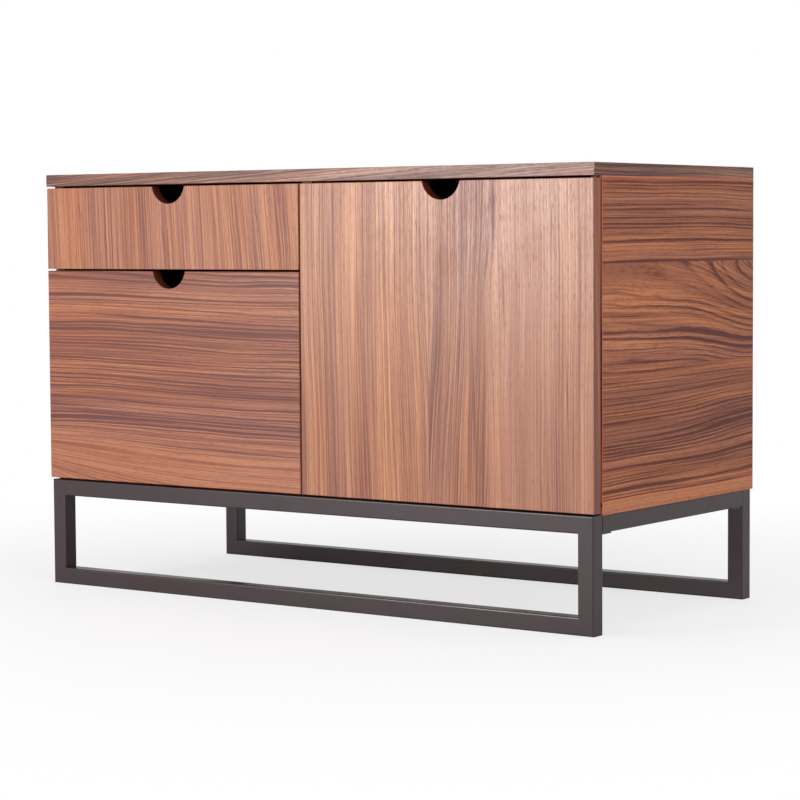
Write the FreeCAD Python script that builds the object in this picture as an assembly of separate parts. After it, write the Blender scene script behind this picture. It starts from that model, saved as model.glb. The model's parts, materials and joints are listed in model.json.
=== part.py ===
"""Office credenza: a veneered cabinet with two drawers and a door on a square-tube frame.

Millimetres. X runs to the right, Y to the back and Z up. The origin is on the floor, at the
middle of the cabinet's width and depth. Each named piece is written to its own STEP file.
"""
import FreeCAD, Part
import math
import os

V = FreeCAD.Vector
X_AXIS = V(1, 0, 0)
Y_AXIS = V(0, 1, 0)
Z_AXIS = V(0, 0, 1)

# ---- overall size -------------------------------------------------------------------
WIDTH = 1000.0
DEPTH = 450.0
HEIGHT = 640.0

# ---- boards -------------------------------------------------------------------------
BOARD = 18.0                  # veneered top, bottom, sides and divider
FRONT_BOARD = 18.0            # drawer fronts and door
BACK_BOARD = 6.0              # back panel, let into grooves
BACK_INSET = 10.0             # rear edge of the carcass to the groove
GROOVE_DEPTH = 7.0
GROOVE_CLEARANCE = 0.1        # on each side of the back panel
GROOVE_END_GAP = 0.5          # left at the bottom of the groove
EDGE_EASE = 0.7               # chamfer of the edges that show
CUT_OVER = 1.0                # how far a cutting tool runs past a face
NEAR = 1e-4                   # two coordinates closer than this are the same

# ---- fronts -------------------------------------------------------------------------
FRONT_GAP = 3.0               # between two fronts, and above and below them
SIDE_REVEAL = 1.5             # front's outer edge to the cabinet's side
CARCASS_GAP = 2.0             # back of a front to the carcass
UPPER_FRONT_HEIGHT = 125.0
NOTCH_RADIUS = 32.5
NOTCH_RISE = 6.3              # centre of the notch above the front's top edge

# ---- frame --------------------------------------------------------------------------
FRAME_HEIGHT = 164.0
TUBE = 25.0
TUBE_WALL = 1.5
TUBE_CORNER = 2.0
CORNER_FACETS = 3             # a tube's rounded corner is made of this many flats
FRAME_SIDE_INSET = 3.5
FRAME_FRONT_INSET = 2.0
TAB_LENGTH = 25.0
TAB_THICKNESS = 2.0
TAB_SCREW_HEAD = 3.5          # radius
TAB_SCREW_HEAD_HEIGHT = 2.0
TAB_SCREW_LENGTH = 14.0
FRAME_SCREW_RADIUS = 2.0
FRAME_SCREW_HEAD = 4.0        # radius
FRAME_SCREW_HEAD_HEIGHT = 2.4
FRAME_SCREW_BITE = 12.0       # length in the bottom panel
FRAME_SCREW_COUNT = 3         # along each side rail
FRAME_SCREW_END = 60.0        # rail end to the first screw
ACCESS_HOLE = 5.0             # radius, in the rail's lower wall
SCREW_FIT = 0.05              # radial clearance round a screw
PEG_SIDES = 8                 # screw heads, dowels and small holes are many-sided prisms
SHANK_SIDES = 6               # so are the screws' shanks and their holes

# ---- panel joints ------------------------------------------------------------------
CAM_RADIUS = 7.5
CAM_HEIGHT = 12.0
CAM_SIDES = 10
CAM_FROM_END = 24.0           # panel end to the cam's centre
CAM_BOLT_RADIUS = 3.0
CAM_BOLT_BITE = 11.0          # length in the top or bottom panel
CAM_FROM_EDGE = 60.0          # front and rear edge of the side panel to the cams
DOWEL_RADIUS = 4.0
DOWEL_BITE = 10.0             # length in the top or bottom panel
DOWEL_LENGTH = 30.0
DOWEL_FIT = 0.1
DOWEL_FROM_EDGE = 80.0

# ---- shelf --------------------------------------------------------------------------
SHELF_HEIGHT = 210.0          # bottom panel to the shelf's underside
SHELF_SETBACK = 25.0          # front edge of the carcass to the shelf
SHELF_SIDE_GAP = 1.0
SHELF_REAR_GAP = 4.0
PIN_RADIUS = 2.5
PIN_BITE = 8.0
PIN_REACH = 9.0               # length under the shelf
PIN_PLATE = 1.6
PIN_HOLE_DEPTH = 10.0
PIN_HOLE_PITCH = 32.0
PIN_HOLES_EACH_WAY = 1        # holes above and below the shelf's own
PIN_FROM_EDGE = 50.0          # shelf's front and rear edge to its pins

# ---- drawers ------------------------------------------------------------------------
DRAWER_BOARD = 12.0
DRAWER_BASE = 6.0
DRAWER_DEPTH = 400.0
DRAWER_BASE_RISE = 10.0       # lower edge of the drawer side to its groove
DRAWER_GROOVE = 6.0
UPPER_BOX_HEADROOM = 33.0     # upper edge of the front to the drawer box
LOWER_BOX_HEADROOM = 44.0
UPPER_BOX_RISE = 12.0         # lower edge of the front to the drawer box
LOWER_BOX_RISE = 30.0
FRONT_SCREW_RADIUS = 2.0
FRONT_SCREW_HEAD = 4.0
FRONT_SCREW_HEAD_HEIGHT = 1.8
FRONT_SCREW_BITE = 12.0       # length in the drawer front
FRONT_SCREW_SIDE = 70.0       # drawer side to the screw
FRONT_SCREW_MARGIN = 22.0     # edge of the inner front to the screw

# ---- drawer slides --------------------------------------------------------------------
SLIDE_WIDTH = 12.7
SLIDE_HEIGHT = 45.0
SLIDE_LENGTH = 400.0
SLIDE_SETBACK = 2.0           # front edge of the carcass to the slide
SLIDE_STEEL = 1.2
SLIDE_PLAY = 0.3              # retainer to a member, on each side
UPPER_SLIDE_RISE = 32.0       # lower edge of the drawer box to the slide's middle
LOWER_SLIDE_RISE = 110.0
BALL_ROOM = 3.0               # height of a retainer's ball row
RETAINER_WEB = 1.2
RETAINER_LENGTH = 100.0
CABINET_MEMBER_REACH = 9.8
MIDDLE_MEMBER_REACH = 7.9
DRAWER_MEMBER_REACH = 6.4
SLIDE_SCREW_RADIUS = 1.8
SLIDE_SCREW_HEAD = 3.5
SLIDE_SCREW_HEAD_HEIGHT = 1.3
SLIDE_SCREW_BITE = 9.0
SLIDE_SCREW_FRONT = 20.0      # front end of the slide to its first screw
SLIDE_SCREW_REAR = 50.0       # rear end of the slide to its last screw

# ---- door hinges ----------------------------------------------------------------------
CUP_MARGIN = 90.0             # door's upper and lower edge to the middle of a hinge cup
CUP_RADIUS = 17.5
CUP_DEPTH = 12.0
CUP_WALL = 0.8
CUP_FLOOR_GAP = 0.3
CUP_FIT = 0.1
CUP_EDGE = 3.0                # door's edge to the cup
CUP_LIP = 1.0
CUP_SIDES = 24
FLANGE = 1.0                  # thickness
FLANGE_LENGTH = 56.0
FLANGE_WIDTH = 16.0
CUP_SCREW_SPACING = 45.0
CUP_SCREW_RADIUS = 1.8
CUP_SCREW_HEAD = 3.2
CUP_SCREW_HEAD_HEIGHT = 0.9
CUP_SCREW_BITE = 10.0
ARM_STEEL = 1.2
ARM_HALF_WIDTH = 7.8
ARM_LENGTH = 61.0
ARM_FRONT_GAP = 0.8           # front edge of the carcass to the arm's nose
NOSE_HEIGHT = 25.0            # side panel to the arm's back at the nose
REAR_HEIGHT = 16.0            # and behind the crank
NOSE_LENGTH = 15.0
CRANK_LENGTH = 10.0
CHEEK_REACH = 6.0             # side panel to the cheek's edge
CHEEK_NOSE_REACH = 12.5
PLATE_BASE = 2.5
PLATE_SPAN = 52.0
PLATE_LENGTH = 20.0
PLATE_BACK = 37.0             # front edge of the carcass to the plate's screws
SADDLE_FRONT = 23.0
SADDLE_LENGTH = 36.0
SADDLE_PLAY = 0.3
PLATE_SCREW_SPACING = 32.0
PLATE_SCREW_RADIUS = 2.0
PLATE_SCREW_HEAD = 3.8
PLATE_SCREW_HEAD_HEIGHT = 1.8
PLATE_SCREW_BITE = 12.0
ARM_SCREW_BACK = 45.0
ARM_SCREW_BITE = 9.0
PIVOT_RADIUS = 1.25
PIVOT_FIT = 0.05
LINK_SIDES = 8                # round ends of a link
LINK_HALF_WIDTH = 1.6
EYE_RADIUS = 2.1
# Pivots and bends of the links. INSET is the distance in from the side panel for the arm's
# pivots, and in from the door's edge elsewhere. BACK is measured from the carcass front, and
# FORWARD from the door's back face.
OUTER_ARM_INSET = 17.0
OUTER_ARM_BACK = 9.5
OUTER_BEND_INSET = 11.5
OUTER_BEND_FORWARD = 7.55
OUTER_CUP_INSET = 7.3
OUTER_CUP_FORWARD = 5.2
INNER_ARM_INSET = 21.0
INNER_ARM_BACK = 3.3
INNER_BEND_INSET = 25.9
INNER_BEND_FORWARD = 8.5
INNER_CUP_INSET = 7.4
INNER_CUP_FORWARD = 8.0
OUTER_LINK_INSIDE = 4.2       # middle of the outer link to the inside of its cheeks
OUTER_LINK_OUTSIDE = 5.8
INNER_LINK_HALF = 3.0
OUTER_STUB = 7.2
BRIDGE_BACK = 1.2
BRIDGE_THICKNESS = 1.2
BRIDGE_HALF = 2.2
BUFFER_RADIUS = 4.0
BUFFER_GAP = 0.3
BUFFER_MARGIN = 40.0          # door's upper and lower edge to the pad
BUFFER_SIDES = 12

# ---- places worked out from the sizes --------------------------------------------------
SIDE_X = WIDTH / 2
INNER_X = SIDE_X - BOARD
DIVIDER_X = BOARD / 2
FRONT_Y = -DEPTH / 2
FRONT_BACK_Y = FRONT_Y + FRONT_BOARD
CARCASS_Y = FRONT_BACK_Y + CARCASS_GAP
REAR_Y = DEPTH / 2
BACK_PANEL_Y1 = REAR_Y - BACK_INSET
BACK_PANEL_Y0 = BACK_PANEL_Y1 - BACK_BOARD
TOP_Z0 = HEIGHT - BOARD
BOTTOM_Z0 = FRAME_HEIGHT
BOTTOM_Z1 = BOTTOM_Z0 + BOARD
FRONTS_Z0 = FRAME_HEIGHT + FRONT_GAP
FRONTS_Z1 = TOP_Z0 - FRONT_GAP
UPPER_FRONT_Z0 = FRONTS_Z1 - UPPER_FRONT_HEIGHT
LOWER_FRONT_Z1 = UPPER_FRONT_Z0 - FRONT_GAP
FRONT_X0 = FRONT_GAP / 2
FRONT_X1 = SIDE_X - SIDE_REVEAL
SHELF_Z0 = BOTTOM_Z1 + SHELF_HEIGHT
SHELF_Z1 = SHELF_Z0 + BOARD
SHELF_Y0 = CARCASS_Y + SHELF_SETBACK
SHELF_Y1 = BACK_PANEL_Y0 - SHELF_REAR_GAP
SLIDE_Y0 = CARCASS_Y + SLIDE_SETBACK
SLIDE_Y1 = SLIDE_Y0 + SLIDE_LENGTH
CUP_X = FRONT_X1 - CUP_EDGE - CUP_RADIUS


# ---- helpers ----------------------------------------------------------------------------
def box(x0, x1, y0, y1, z0, z1):
    """A box between two corners."""
    return Part.makeBox(x1 - x0, y1 - y0, z1 - z0, V(x0, y0, z0))


def prism(points, direction):
    """A closed outline pushed along a direction."""
    outline = Part.makePolygon(list(points) + [points[0]])
    return Part.Face(outline).extrude(direction)


def rod(radius, start, direction, length):
    """A turned piece, or its bore."""
    return Part.makeCylinder(radius, length, start, direction)


def peg(radius, start, direction, length, sides=PEG_SIDES):
    """A small round piece, or its hole, as a prism with that many sides."""
    first = X_AXIS if abs(direction.z) > 0.5 else Z_AXIS
    second = direction.cross(first)
    corners = []
    for step in range(sides):
        turn = 2 * math.pi * (step + 0.5) / sides
        corners.append(start + first * (radius * math.cos(turn))
                       + second * (radius * math.sin(turn)))
    return prism(corners, direction * length)


def shank(radius, start, direction, length):
    """A screw's shank, or its hole."""
    return peg(radius, start, direction, length, SHANK_SIDES)


def screw(radius, head_radius, head_height, head_top, direction, under_head):
    """A pan-head screw: head_top is the middle of the head's outer face."""
    shank_start = head_top + direction * head_height
    head = peg(head_radius, head_top, direction, head_height)
    return head.fuse(shank(radius, shank_start, direction, under_head))


def cut(shape, tools):
    """Shape less every tool."""
    return shape.cut(tools) if tools else shape


def ease(shape, chosen):
    """Chamfer the edges that a test picks."""
    edges = [edge for edge in shape.Edges if chosen(edge)]
    return shape.makeChamfer(EDGE_EASE, edges)


def in_plane(edge, axis, value):
    """Whether all of an edge lies in the plane where that coordinate has that value."""
    low = getattr(edge.BoundBox, axis + "Min")
    high = getattr(edge.BoundBox, axis + "Max")
    return abs(low - value) < NEAR and abs(high - value) < NEAR


def write(name, solids):
    """Write a node: one solid, or a group of like solids."""
    if isinstance(solids, (list, tuple)):
        shape = Part.makeCompound(list(solids))
    else:
        shape = solids
    shape.exportStep(os.path.join("parts", name + ".step"))


# ---- the carcass --------------------------------------------------------------------------
def groove(x0, x1, z0, z1):
    """The slot that the back panel's edge sits in."""
    return box(x0, x1, BACK_PANEL_Y0 - GROOVE_CLEARANCE, BACK_PANEL_Y1 + GROOVE_CLEARANCE, z0, z1)


def cam_rows():
    """Y of the cams along a side panel's end."""
    return (CARCASS_Y + CAM_FROM_EDGE, REAR_Y - CAM_FROM_EDGE)


def cam_ends():
    """Height of the panel's end, the cam's side of it and the direction into the outer panel."""
    return ((BOTTOM_Z1, 1, V(0, 0, -1)), (TOP_Z0, -1, V(0, 0, 1)))


def cam_bolts(extra):
    """Bolts from the top and bottom panel into the cams, grown by a clearance."""
    bolts = []
    for side in (-1, 1):
        x = side * (SIDE_X - BOARD / 2)
        for y in cam_rows():
            for end_z, into, outward in cam_ends():
                start = V(x, y, end_z + into * (CAM_FROM_END + CAM_BOLT_RADIUS))
                length = CAM_FROM_END + CAM_BOLT_RADIUS + CAM_BOLT_BITE + extra
                bolts.append(peg(CAM_BOLT_RADIUS + extra, start, outward, length))
    return bolts


def cams(extra):
    """Cam barrels in the inner faces of the side panels, grown by a clearance."""
    barrels = []
    for side in (-1, 1):
        for y in cam_rows():
            for end_z, into, outward in cam_ends():
                start = V(side * INNER_X, y, end_z + into * CAM_FROM_END)
                direction = V(side, 0, 0)
                barrels.append(peg(CAM_RADIUS + extra, start, direction, CAM_HEIGHT + extra,
                                   CAM_SIDES))
    return barrels


def dowels(extra):
    """Dowels between the divider and the top and bottom panels, grown by a clearance."""
    pegs = []
    for y in (CARCASS_Y + DOWEL_FROM_EDGE, BACK_PANEL_Y0 - DOWEL_FROM_EDGE):
        for end_z, into, outward in cam_ends():
            start = V(0, y, end_z + into * (DOWEL_LENGTH - DOWEL_BITE + extra))
            length = DOWEL_LENGTH + 2 * extra
            pegs.append(peg(DOWEL_RADIUS + extra, start, outward, length))
    return pegs


def outer_panel(y0, z0, z1, groove_z0, groove_z1):
    """Top or bottom panel, with the back panel's groove and the holes for its fittings."""
    groove_x = INNER_X + GROOVE_DEPTH
    panel = box(-SIDE_X, SIDE_X, y0, REAR_Y, z0, z1)
    slots = [groove(-groove_x, groove_x, groove_z0, groove_z1)]
    return cut(panel, slots + cam_bolts(SCREW_FIT) + dowels(DOWEL_FIT))


def top_panel():
    panel = outer_panel(FRONT_Y, TOP_Z0, HEIGHT, TOP_Z0, TOP_Z0 + GROOVE_DEPTH)
    return ease(panel, lambda edge: in_plane(edge, "Z", HEIGHT) or in_plane(edge, "Y", FRONT_Y))


def bottom_panel():
    panel = outer_panel(CARCASS_Y, BOTTOM_Z0, BOTTOM_Z1, BOTTOM_Z1 - GROOVE_DEPTH, BOTTOM_Z1)
    return cut(panel, frame_screw_holes())


def side_panel(side):
    """A side between the bottom and top panels, with its groove, cams and pin holes."""
    near, far = sorted((side * INNER_X, side * SIDE_X))
    panel = box(near, far, CARCASS_Y, REAR_Y, BOTTOM_Z1, TOP_Z0)
    g0, g1 = sorted((side * INNER_X, side * (INNER_X + GROOVE_DEPTH)))
    tools = [groove(g0, g1, BOTTOM_Z1, TOP_Z0)] + cams(CUP_FIT) + cam_bolts(SCREW_FIT)
    if side > 0:
        tools += pin_holes(INNER_X, 1) + plate_screws(SCREW_FIT)
    else:
        tools += cabinet_slide_screws(-INNER_X, SCREW_FIT)
    return cut(panel, tools)


def centre_divider():
    panel = box(-DIVIDER_X, DIVIDER_X, CARCASS_Y, BACK_PANEL_Y0, BOTTOM_Z1, TOP_Z0)
    tools = dowels(DOWEL_FIT) + pin_holes(DIVIDER_X, -1)
    return cut(panel, tools + cabinet_slide_screws(-DIVIDER_X, SCREW_FIT))


def back_panel():
    reach = GROOVE_DEPTH - GROOVE_END_GAP
    return box(-INNER_X - reach, INNER_X + reach, BACK_PANEL_Y0, BACK_PANEL_Y1,
               BOTTOM_Z1 - reach, TOP_Z0 + reach)


# ---- the shelf ------------------------------------------------------------------------------
def shelf():
    board = box(DIVIDER_X + SHELF_SIDE_GAP, INNER_X - SHELF_SIDE_GAP, SHELF_Y0, SHELF_Y1,
                SHELF_Z0, SHELF_Z1)
    return ease(board, lambda edge: in_plane(edge, "Y", SHELF_Y0))


def pin_rows():
    """Y of the shelf's pins."""
    return (SHELF_Y0 + PIN_FROM_EDGE, SHELF_Y1 - PIN_FROM_EDGE)


def pin_z():
    """Height of a pin's axis, so that the shelf rests on its plate."""
    return SHELF_Z0 - PIN_RADIUS


def pin_holes(face_x, outward):
    """The two columns of holes in a panel's face, drilled along outward."""
    holes = []
    for y in pin_rows():
        for step in range(-PIN_HOLES_EACH_WAY, PIN_HOLES_EACH_WAY + 1):
            start = V(face_x, y, pin_z() + step * PIN_HOLE_PITCH)
            direction = V(outward, 0, 0)
            holes.append(peg(PIN_RADIUS + SCREW_FIT, start, direction, PIN_HOLE_DEPTH))
    return holes


def shelf_pins():
    """Four pins with a flat spoon under the shelf and a stop collar at the panel."""
    pins = []
    for face_x, outward in ((INNER_X, 1), (DIVIDER_X, -1)):
        for y in pin_rows():
            stem = peg(PIN_RADIUS, V(face_x, y, pin_z()), V(outward, 0, 0), PIN_BITE)
            x0, x1 = sorted((face_x, face_x - outward * PIN_REACH))
            spoon = box(x0, x1, y - PIN_RADIUS, y + PIN_RADIUS, SHELF_Z0 - PIN_PLATE, SHELF_Z0)
            c0, c1 = sorted((face_x, face_x - outward * SHELF_SIDE_GAP))
            collar = box(c0, c1, y - PIN_RADIUS, y + PIN_RADIUS, pin_z() - PIN_RADIUS, SHELF_Z0)
            pins.append(stem.fuse([spoon, collar]).removeSplitter())
    return pins


# ---- the frame --------------------------------------------------------------------------------
FRAME_X = SIDE_X - FRAME_SIDE_INSET
LOOPS = {"front": FRONT_Y + FRAME_FRONT_INSET, "rear": REAR_Y - TUBE}
RAIL_Y0 = LOOPS["front"] + TUBE
RAIL_Y1 = LOOPS["rear"]


def tube(length):
    """Hollow square tube along +Z from the origin, centred on the axis, corners rounded."""
    centre = TUBE / 2 - TUBE_CORNER
    outline = []
    for corner in range(4):
        quarter = corner * math.pi / 2
        for step in range(CORNER_FACETS + 1):
            turn = quarter + step * math.pi / 2 / CORNER_FACETS
            middle = quarter + math.pi / 4
            outline.append(V(math.copysign(centre, math.cos(middle)) + TUBE_CORNER * math.cos(turn),
                             math.copysign(centre, math.sin(middle)) + TUBE_CORNER * math.sin(turn),
                             0))
    bore = TUBE / 2 - TUBE_WALL
    return prism(outline, Z_AXIS * length).cut(box(-bore, bore, -bore, bore, 0, length))


def mitre(length):
    """What is left of a tube of that length when both ends are mitred, long side at +X."""
    reach = TUBE
    half = TUBE / 2
    points = [V(-half, -reach, TUBE), V(half, -reach, 0), V(half, -reach, length),
              V(-half, -reach, length - TUBE)]
    return prism(points, V(0, 2 * reach, 0))


def loop(y0):
    """One upright rectangle of mitred tube: left post, right post, top rail, bottom rail."""
    centre_y = y0 + TUBE / 2
    post = tube(FRAME_HEIGHT).common(mitre(FRAME_HEIGHT))
    rail = tube(2 * FRAME_X).common(mitre(2 * FRAME_X))
    right = post.copy()
    right.translate(V(FRAME_X - TUBE / 2, centre_y, 0))
    left = post.copy()
    left.rotate(V(0, 0, 0), Z_AXIS, 180)
    left.translate(V(-FRAME_X + TUBE / 2, centre_y, 0))
    top = rail.copy()
    top.rotate(V(0, 0, 0), Y_AXIS, -90)
    top.translate(V(FRAME_X, centre_y, FRAME_HEIGHT - TUBE / 2))
    bottom = rail.copy()
    bottom.rotate(V(0, 0, 0), Y_AXIS, 90)
    bottom.translate(V(-FRAME_X, centre_y, TUBE / 2))
    return {"left_post": left, "right_post": right, "top_rail": top, "bottom_rail": bottom}


def rail_x(side):
    """Middle of a side rail."""
    return side * (FRAME_X - TUBE / 2)


def frame_screw_rows():
    """Y of the screws along a side rail."""
    first = RAIL_Y0 + FRAME_SCREW_END
    pitch = (RAIL_Y1 - RAIL_Y0 - 2 * FRAME_SCREW_END) / (FRAME_SCREW_COUNT - 1)
    return [first + step * pitch for step in range(FRAME_SCREW_COUNT)]


def frame_screw_holes():
    """Holes for the frame's screws, through the rail's upper wall and into the bottom panel."""
    holes = []
    for side in (-1, 1):
        for y in frame_screw_rows():
            start = V(rail_x(side), y, FRAME_HEIGHT - TUBE_WALL - CUT_OVER)
            length = TUBE_WALL + CUT_OVER + FRAME_SCREW_BITE
            holes.append(shank(FRAME_SCREW_RADIUS + SCREW_FIT, start, Z_AXIS, length))
    return holes


def side_rail(side):
    """A top side rail between the two loops, drilled for the screws and their driver."""
    rail = tube(RAIL_Y1 - RAIL_Y0)
    rail.rotate(V(0, 0, 0), X_AXIS, -90)
    rail.translate(V(rail_x(side), RAIL_Y0, FRAME_HEIGHT - TUBE / 2))
    low = FRAME_HEIGHT - TUBE
    access = []
    for y in frame_screw_rows():
        access.append(peg(ACCESS_HOLE, V(rail_x(side), y, low - CUT_OVER), Z_AXIS,
                          TUBE_WALL + 2 * CUT_OVER))
    taps = [shank(FRAME_SCREW_RADIUS + SCREW_FIT, V(x, y, low - CUT_OVER), Z_AXIS,
                  TUBE_WALL + 2 * CUT_OVER)
            for x, y in tab_screw_places() if x * side > 0]
    return cut(rail, access + frame_screw_holes() + taps)


def tab_places():
    """Side and Y range of each tab under the ends of the side rails."""
    places = []
    for side in (-1, 1):
        places.append((side, RAIL_Y0, RAIL_Y0 + TAB_LENGTH))
        places.append((side, RAIL_Y1 - TAB_LENGTH, RAIL_Y1))
    return places


def tab_screw_places():
    return [(rail_x(side), (y0 + y1) / 2) for side, y0, y1 in tab_places()]


def frame_tabs():
    """Tabs welded to the posts, which carry the side rails' ends."""
    tabs = []
    half = TUBE / 2 - TUBE_CORNER
    for side, y0, y1 in tab_places():
        x = rail_x(side)
        low = FRAME_HEIGHT - TUBE - TAB_THICKNESS
        plate = box(x - half, x + half, y0, y1, low, low + TAB_THICKNESS)
        hole = shank(FRAME_SCREW_RADIUS + SCREW_FIT, V(x, (y0 + y1) / 2, low - CUT_OVER), Z_AXIS,
                     TAB_THICKNESS + 2 * CUT_OVER)
        tabs.append(plate.cut(hole))
    return tabs


def frame_screws():
    """Screws that hold the bottom panel to the side rails, and the rails to their tabs."""
    screws = []
    for side in (-1, 1):
        for y in frame_screw_rows():
            top = V(rail_x(side), y, FRAME_HEIGHT - TUBE_WALL - FRAME_SCREW_HEAD_HEIGHT)
            screws.append(screw(FRAME_SCREW_RADIUS, FRAME_SCREW_HEAD, FRAME_SCREW_HEAD_HEIGHT,
                                top, Z_AXIS, TUBE_WALL + FRAME_SCREW_BITE))
    for x, y in tab_screw_places():
        low = FRAME_HEIGHT - TUBE - TAB_THICKNESS - TAB_SCREW_HEAD_HEIGHT
        screws.append(screw(FRAME_SCREW_RADIUS, TAB_SCREW_HEAD, TAB_SCREW_HEAD_HEIGHT,
                            V(x, y, low), Z_AXIS, TAB_SCREW_LENGTH))
    return screws


# ---- fronts ---------------------------------------------------------------------------------
def front(x0, x1, z0, z1):
    """A drawer front or door with its half-round finger notch and eased edges."""
    board = box(x0, x1, FRONT_Y, FRONT_BACK_Y, z0, z1)
    middle = V((x0 + x1) / 2, FRONT_Y - CUT_OVER, z1 + NOTCH_RISE)
    notch = rod(NOTCH_RADIUS, middle, Y_AXIS, FRONT_BOARD + 2 * CUT_OVER)
    notched = board.cut(notch)
    return ease(notched, lambda edge: in_plane(edge, "Y", FRONT_Y))


# ---- drawers --------------------------------------------------------------------------------
class Drawer:
    """Sizes and pieces of one drawer: front, box, slides and screws."""

    def __init__(self, front_z0, front_z1, box_rise, headroom, slide_rise):
        self.front_z0 = front_z0
        self.front_z1 = front_z1
        self.z0 = front_z0 + box_rise
        self.z1 = front_z1 - headroom
        self.x0 = -INNER_X + SLIDE_WIDTH
        self.x1 = -DIVIDER_X - SLIDE_WIDTH
        self.y0 = FRONT_BACK_Y
        self.y1 = FRONT_BACK_Y + DRAWER_DEPTH
        self.slide_z = self.z0 + slide_rise
        self.base_z0 = self.z0 + DRAWER_BASE_RISE

    def base_slot(self):
        """The groove round the box that holds its base."""
        deep = DRAWER_GROOVE
        inner_x0 = self.x0 + DRAWER_BOARD
        inner_x1 = self.x1 - DRAWER_BOARD
        inner_y0 = self.y0 + DRAWER_BOARD
        inner_y1 = self.y1 - DRAWER_BOARD
        return box(inner_x0 - deep, inner_x1 + deep, inner_y0 - deep, inner_y1 + deep,
                   self.base_z0 - GROOVE_CLEARANCE,
                   self.base_z0 + DRAWER_BASE + GROOVE_CLEARANCE)

    def base(self):
        reach = DRAWER_GROOVE - GROOVE_END_GAP
        return box(self.x0 + DRAWER_BOARD - reach, self.x1 - DRAWER_BOARD + reach,
                   self.y0 + DRAWER_BOARD - reach, self.y1 - DRAWER_BOARD + reach,
                   self.base_z0, self.base_z0 + DRAWER_BASE)

    def side(self, outer_x, inward):
        near, far = sorted((outer_x, outer_x + inward * DRAWER_BOARD))
        board = box(near, far, self.y0, self.y1, self.z0, self.z1)
        holes = self.slide_screws(SCREW_FIT)
        return cut(board, [self.base_slot()] + holes)

    def cross_board(self, y0, holes):
        """Inner front or back, between the two sides."""
        board = box(self.x0 + DRAWER_BOARD, self.x1 - DRAWER_BOARD, y0, y0 + DRAWER_BOARD,
                    self.z0, self.z1)
        return cut(board, [self.base_slot()] + holes)

    def front_panel(self):
        panel = front(-FRONT_X1, -FRONT_X0, self.front_z0, self.front_z1)
        return cut(panel, self.front_screws(SCREW_FIT))

    def front_screws(self, extra):
        """Four screws from inside the box into the front; extra makes their holes."""
        screws = []
        head_y = self.y0 + DRAWER_BOARD + FRONT_SCREW_HEAD_HEIGHT
        for x in (self.x0 + DRAWER_BOARD + FRONT_SCREW_SIDE,
                  self.x1 - DRAWER_BOARD - FRONT_SCREW_SIDE):
            for z in (self.base_z0 + DRAWER_BASE + FRONT_SCREW_MARGIN / 2,
                      self.z1 - FRONT_SCREW_MARGIN / 2):
                screws.append(self.front_screw(V(x, head_y, z), extra))
        return screws

    def front_screw(self, head_top, extra):
        length = DRAWER_BOARD + FRONT_SCREW_BITE
        if extra:
            start = head_top + V(0, -FRONT_SCREW_HEAD_HEIGHT, 0)
            return shank(FRONT_SCREW_RADIUS + extra, start, V(0, -1, 0), length + extra)
        return screw(FRONT_SCREW_RADIUS, FRONT_SCREW_HEAD, FRONT_SCREW_HEAD_HEIGHT, head_top,
                     V(0, -1, 0), length)

    def slide_screws(self, extra):
        """Screws from inside the drawer members into the drawer's sides."""
        screws = []
        for wall_x, inward in ((-INNER_X, 1), (-DIVIDER_X, -1)):
            face_x = wall_x + inward * (SLIDE_WIDTH - SLIDE_STEEL)
            for y in slide_screw_rows():
                place = V(face_x, y, self.slide_z)
                screws.append(member_screw(place, V(inward, 0, 0), extra))
        return screws

    def member(self, web, reach, half, web_wall, flange_wall, y0, y1):
        """The left and right copy of one slide member."""
        pair = []
        for wall_x, inward in ((-INNER_X, 1), (-DIVIDER_X, -1)):
            pair.append(channel(wall_x, inward, web, reach, half, web_wall, flange_wall,
                                self.slide_z, y0, y1))
        return pair

    def slide_pieces(self):
        """Cabinet member, outer retainer, middle member, inner retainer, drawer member."""
        steel = SLIDE_STEEL
        half = SLIDE_HEIGHT / 2
        web = 0.0
        cabinet = self.member(web, CABINET_MEMBER_REACH, half, steel, steel, SLIDE_Y0, SLIDE_Y1)
        middle_y = (SLIDE_Y0 + SLIDE_Y1) / 2
        ret_y0 = middle_y - RETAINER_LENGTH / 2
        ret_y1 = middle_y + RETAINER_LENGTH / 2
        half -= steel + SLIDE_PLAY
        web += steel + SLIDE_PLAY
        outer = self.member(web, CABINET_MEMBER_REACH - web, half, RETAINER_WEB, BALL_ROOM,
                            ret_y0, ret_y1)
        half -= BALL_ROOM + SLIDE_PLAY
        web += RETAINER_WEB + SLIDE_PLAY
        middle = self.member(web, MIDDLE_MEMBER_REACH, half, steel, steel, SLIDE_Y0, SLIDE_Y1)
        half -= steel + SLIDE_PLAY
        web += steel + SLIDE_PLAY
        inner = self.member(web, MIDDLE_MEMBER_REACH - steel, half, RETAINER_WEB, BALL_ROOM,
                            ret_y0, ret_y1)
        half -= BALL_ROOM + SLIDE_PLAY
        drawer = self.member(SLIDE_WIDTH, -DRAWER_MEMBER_REACH, half, steel, steel, SLIDE_Y0,
                             SLIDE_Y1)
        holes = self.slide_screws(SCREW_FIT)
        return {
            "cabinet_members": [cut(piece, cabinet_slide_screws(wall_x, SCREW_FIT))
                                for piece, wall_x in zip(cabinet, (-INNER_X, -DIVIDER_X))],
            "outer_retainers": outer,
            "middle_members": middle,
            "inner_retainers": inner,
            "drawer_members": [cut(piece, holes) for piece in drawer],
        }

    def pieces(self):
        """Every node of this drawer, by name."""
        return {
            "front": self.front_panel(),
            "left_side": self.side(self.x0, 1),
            "right_side": self.side(self.x1, -1),
            "inner_front": self.cross_board(self.y0, self.front_screws(SCREW_FIT)),
            "back": self.cross_board(self.y1 - DRAWER_BOARD, []),
            "base": self.base(),
            "screws": self.front_screws(0) + self.slide_screws(0),
        }


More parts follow.
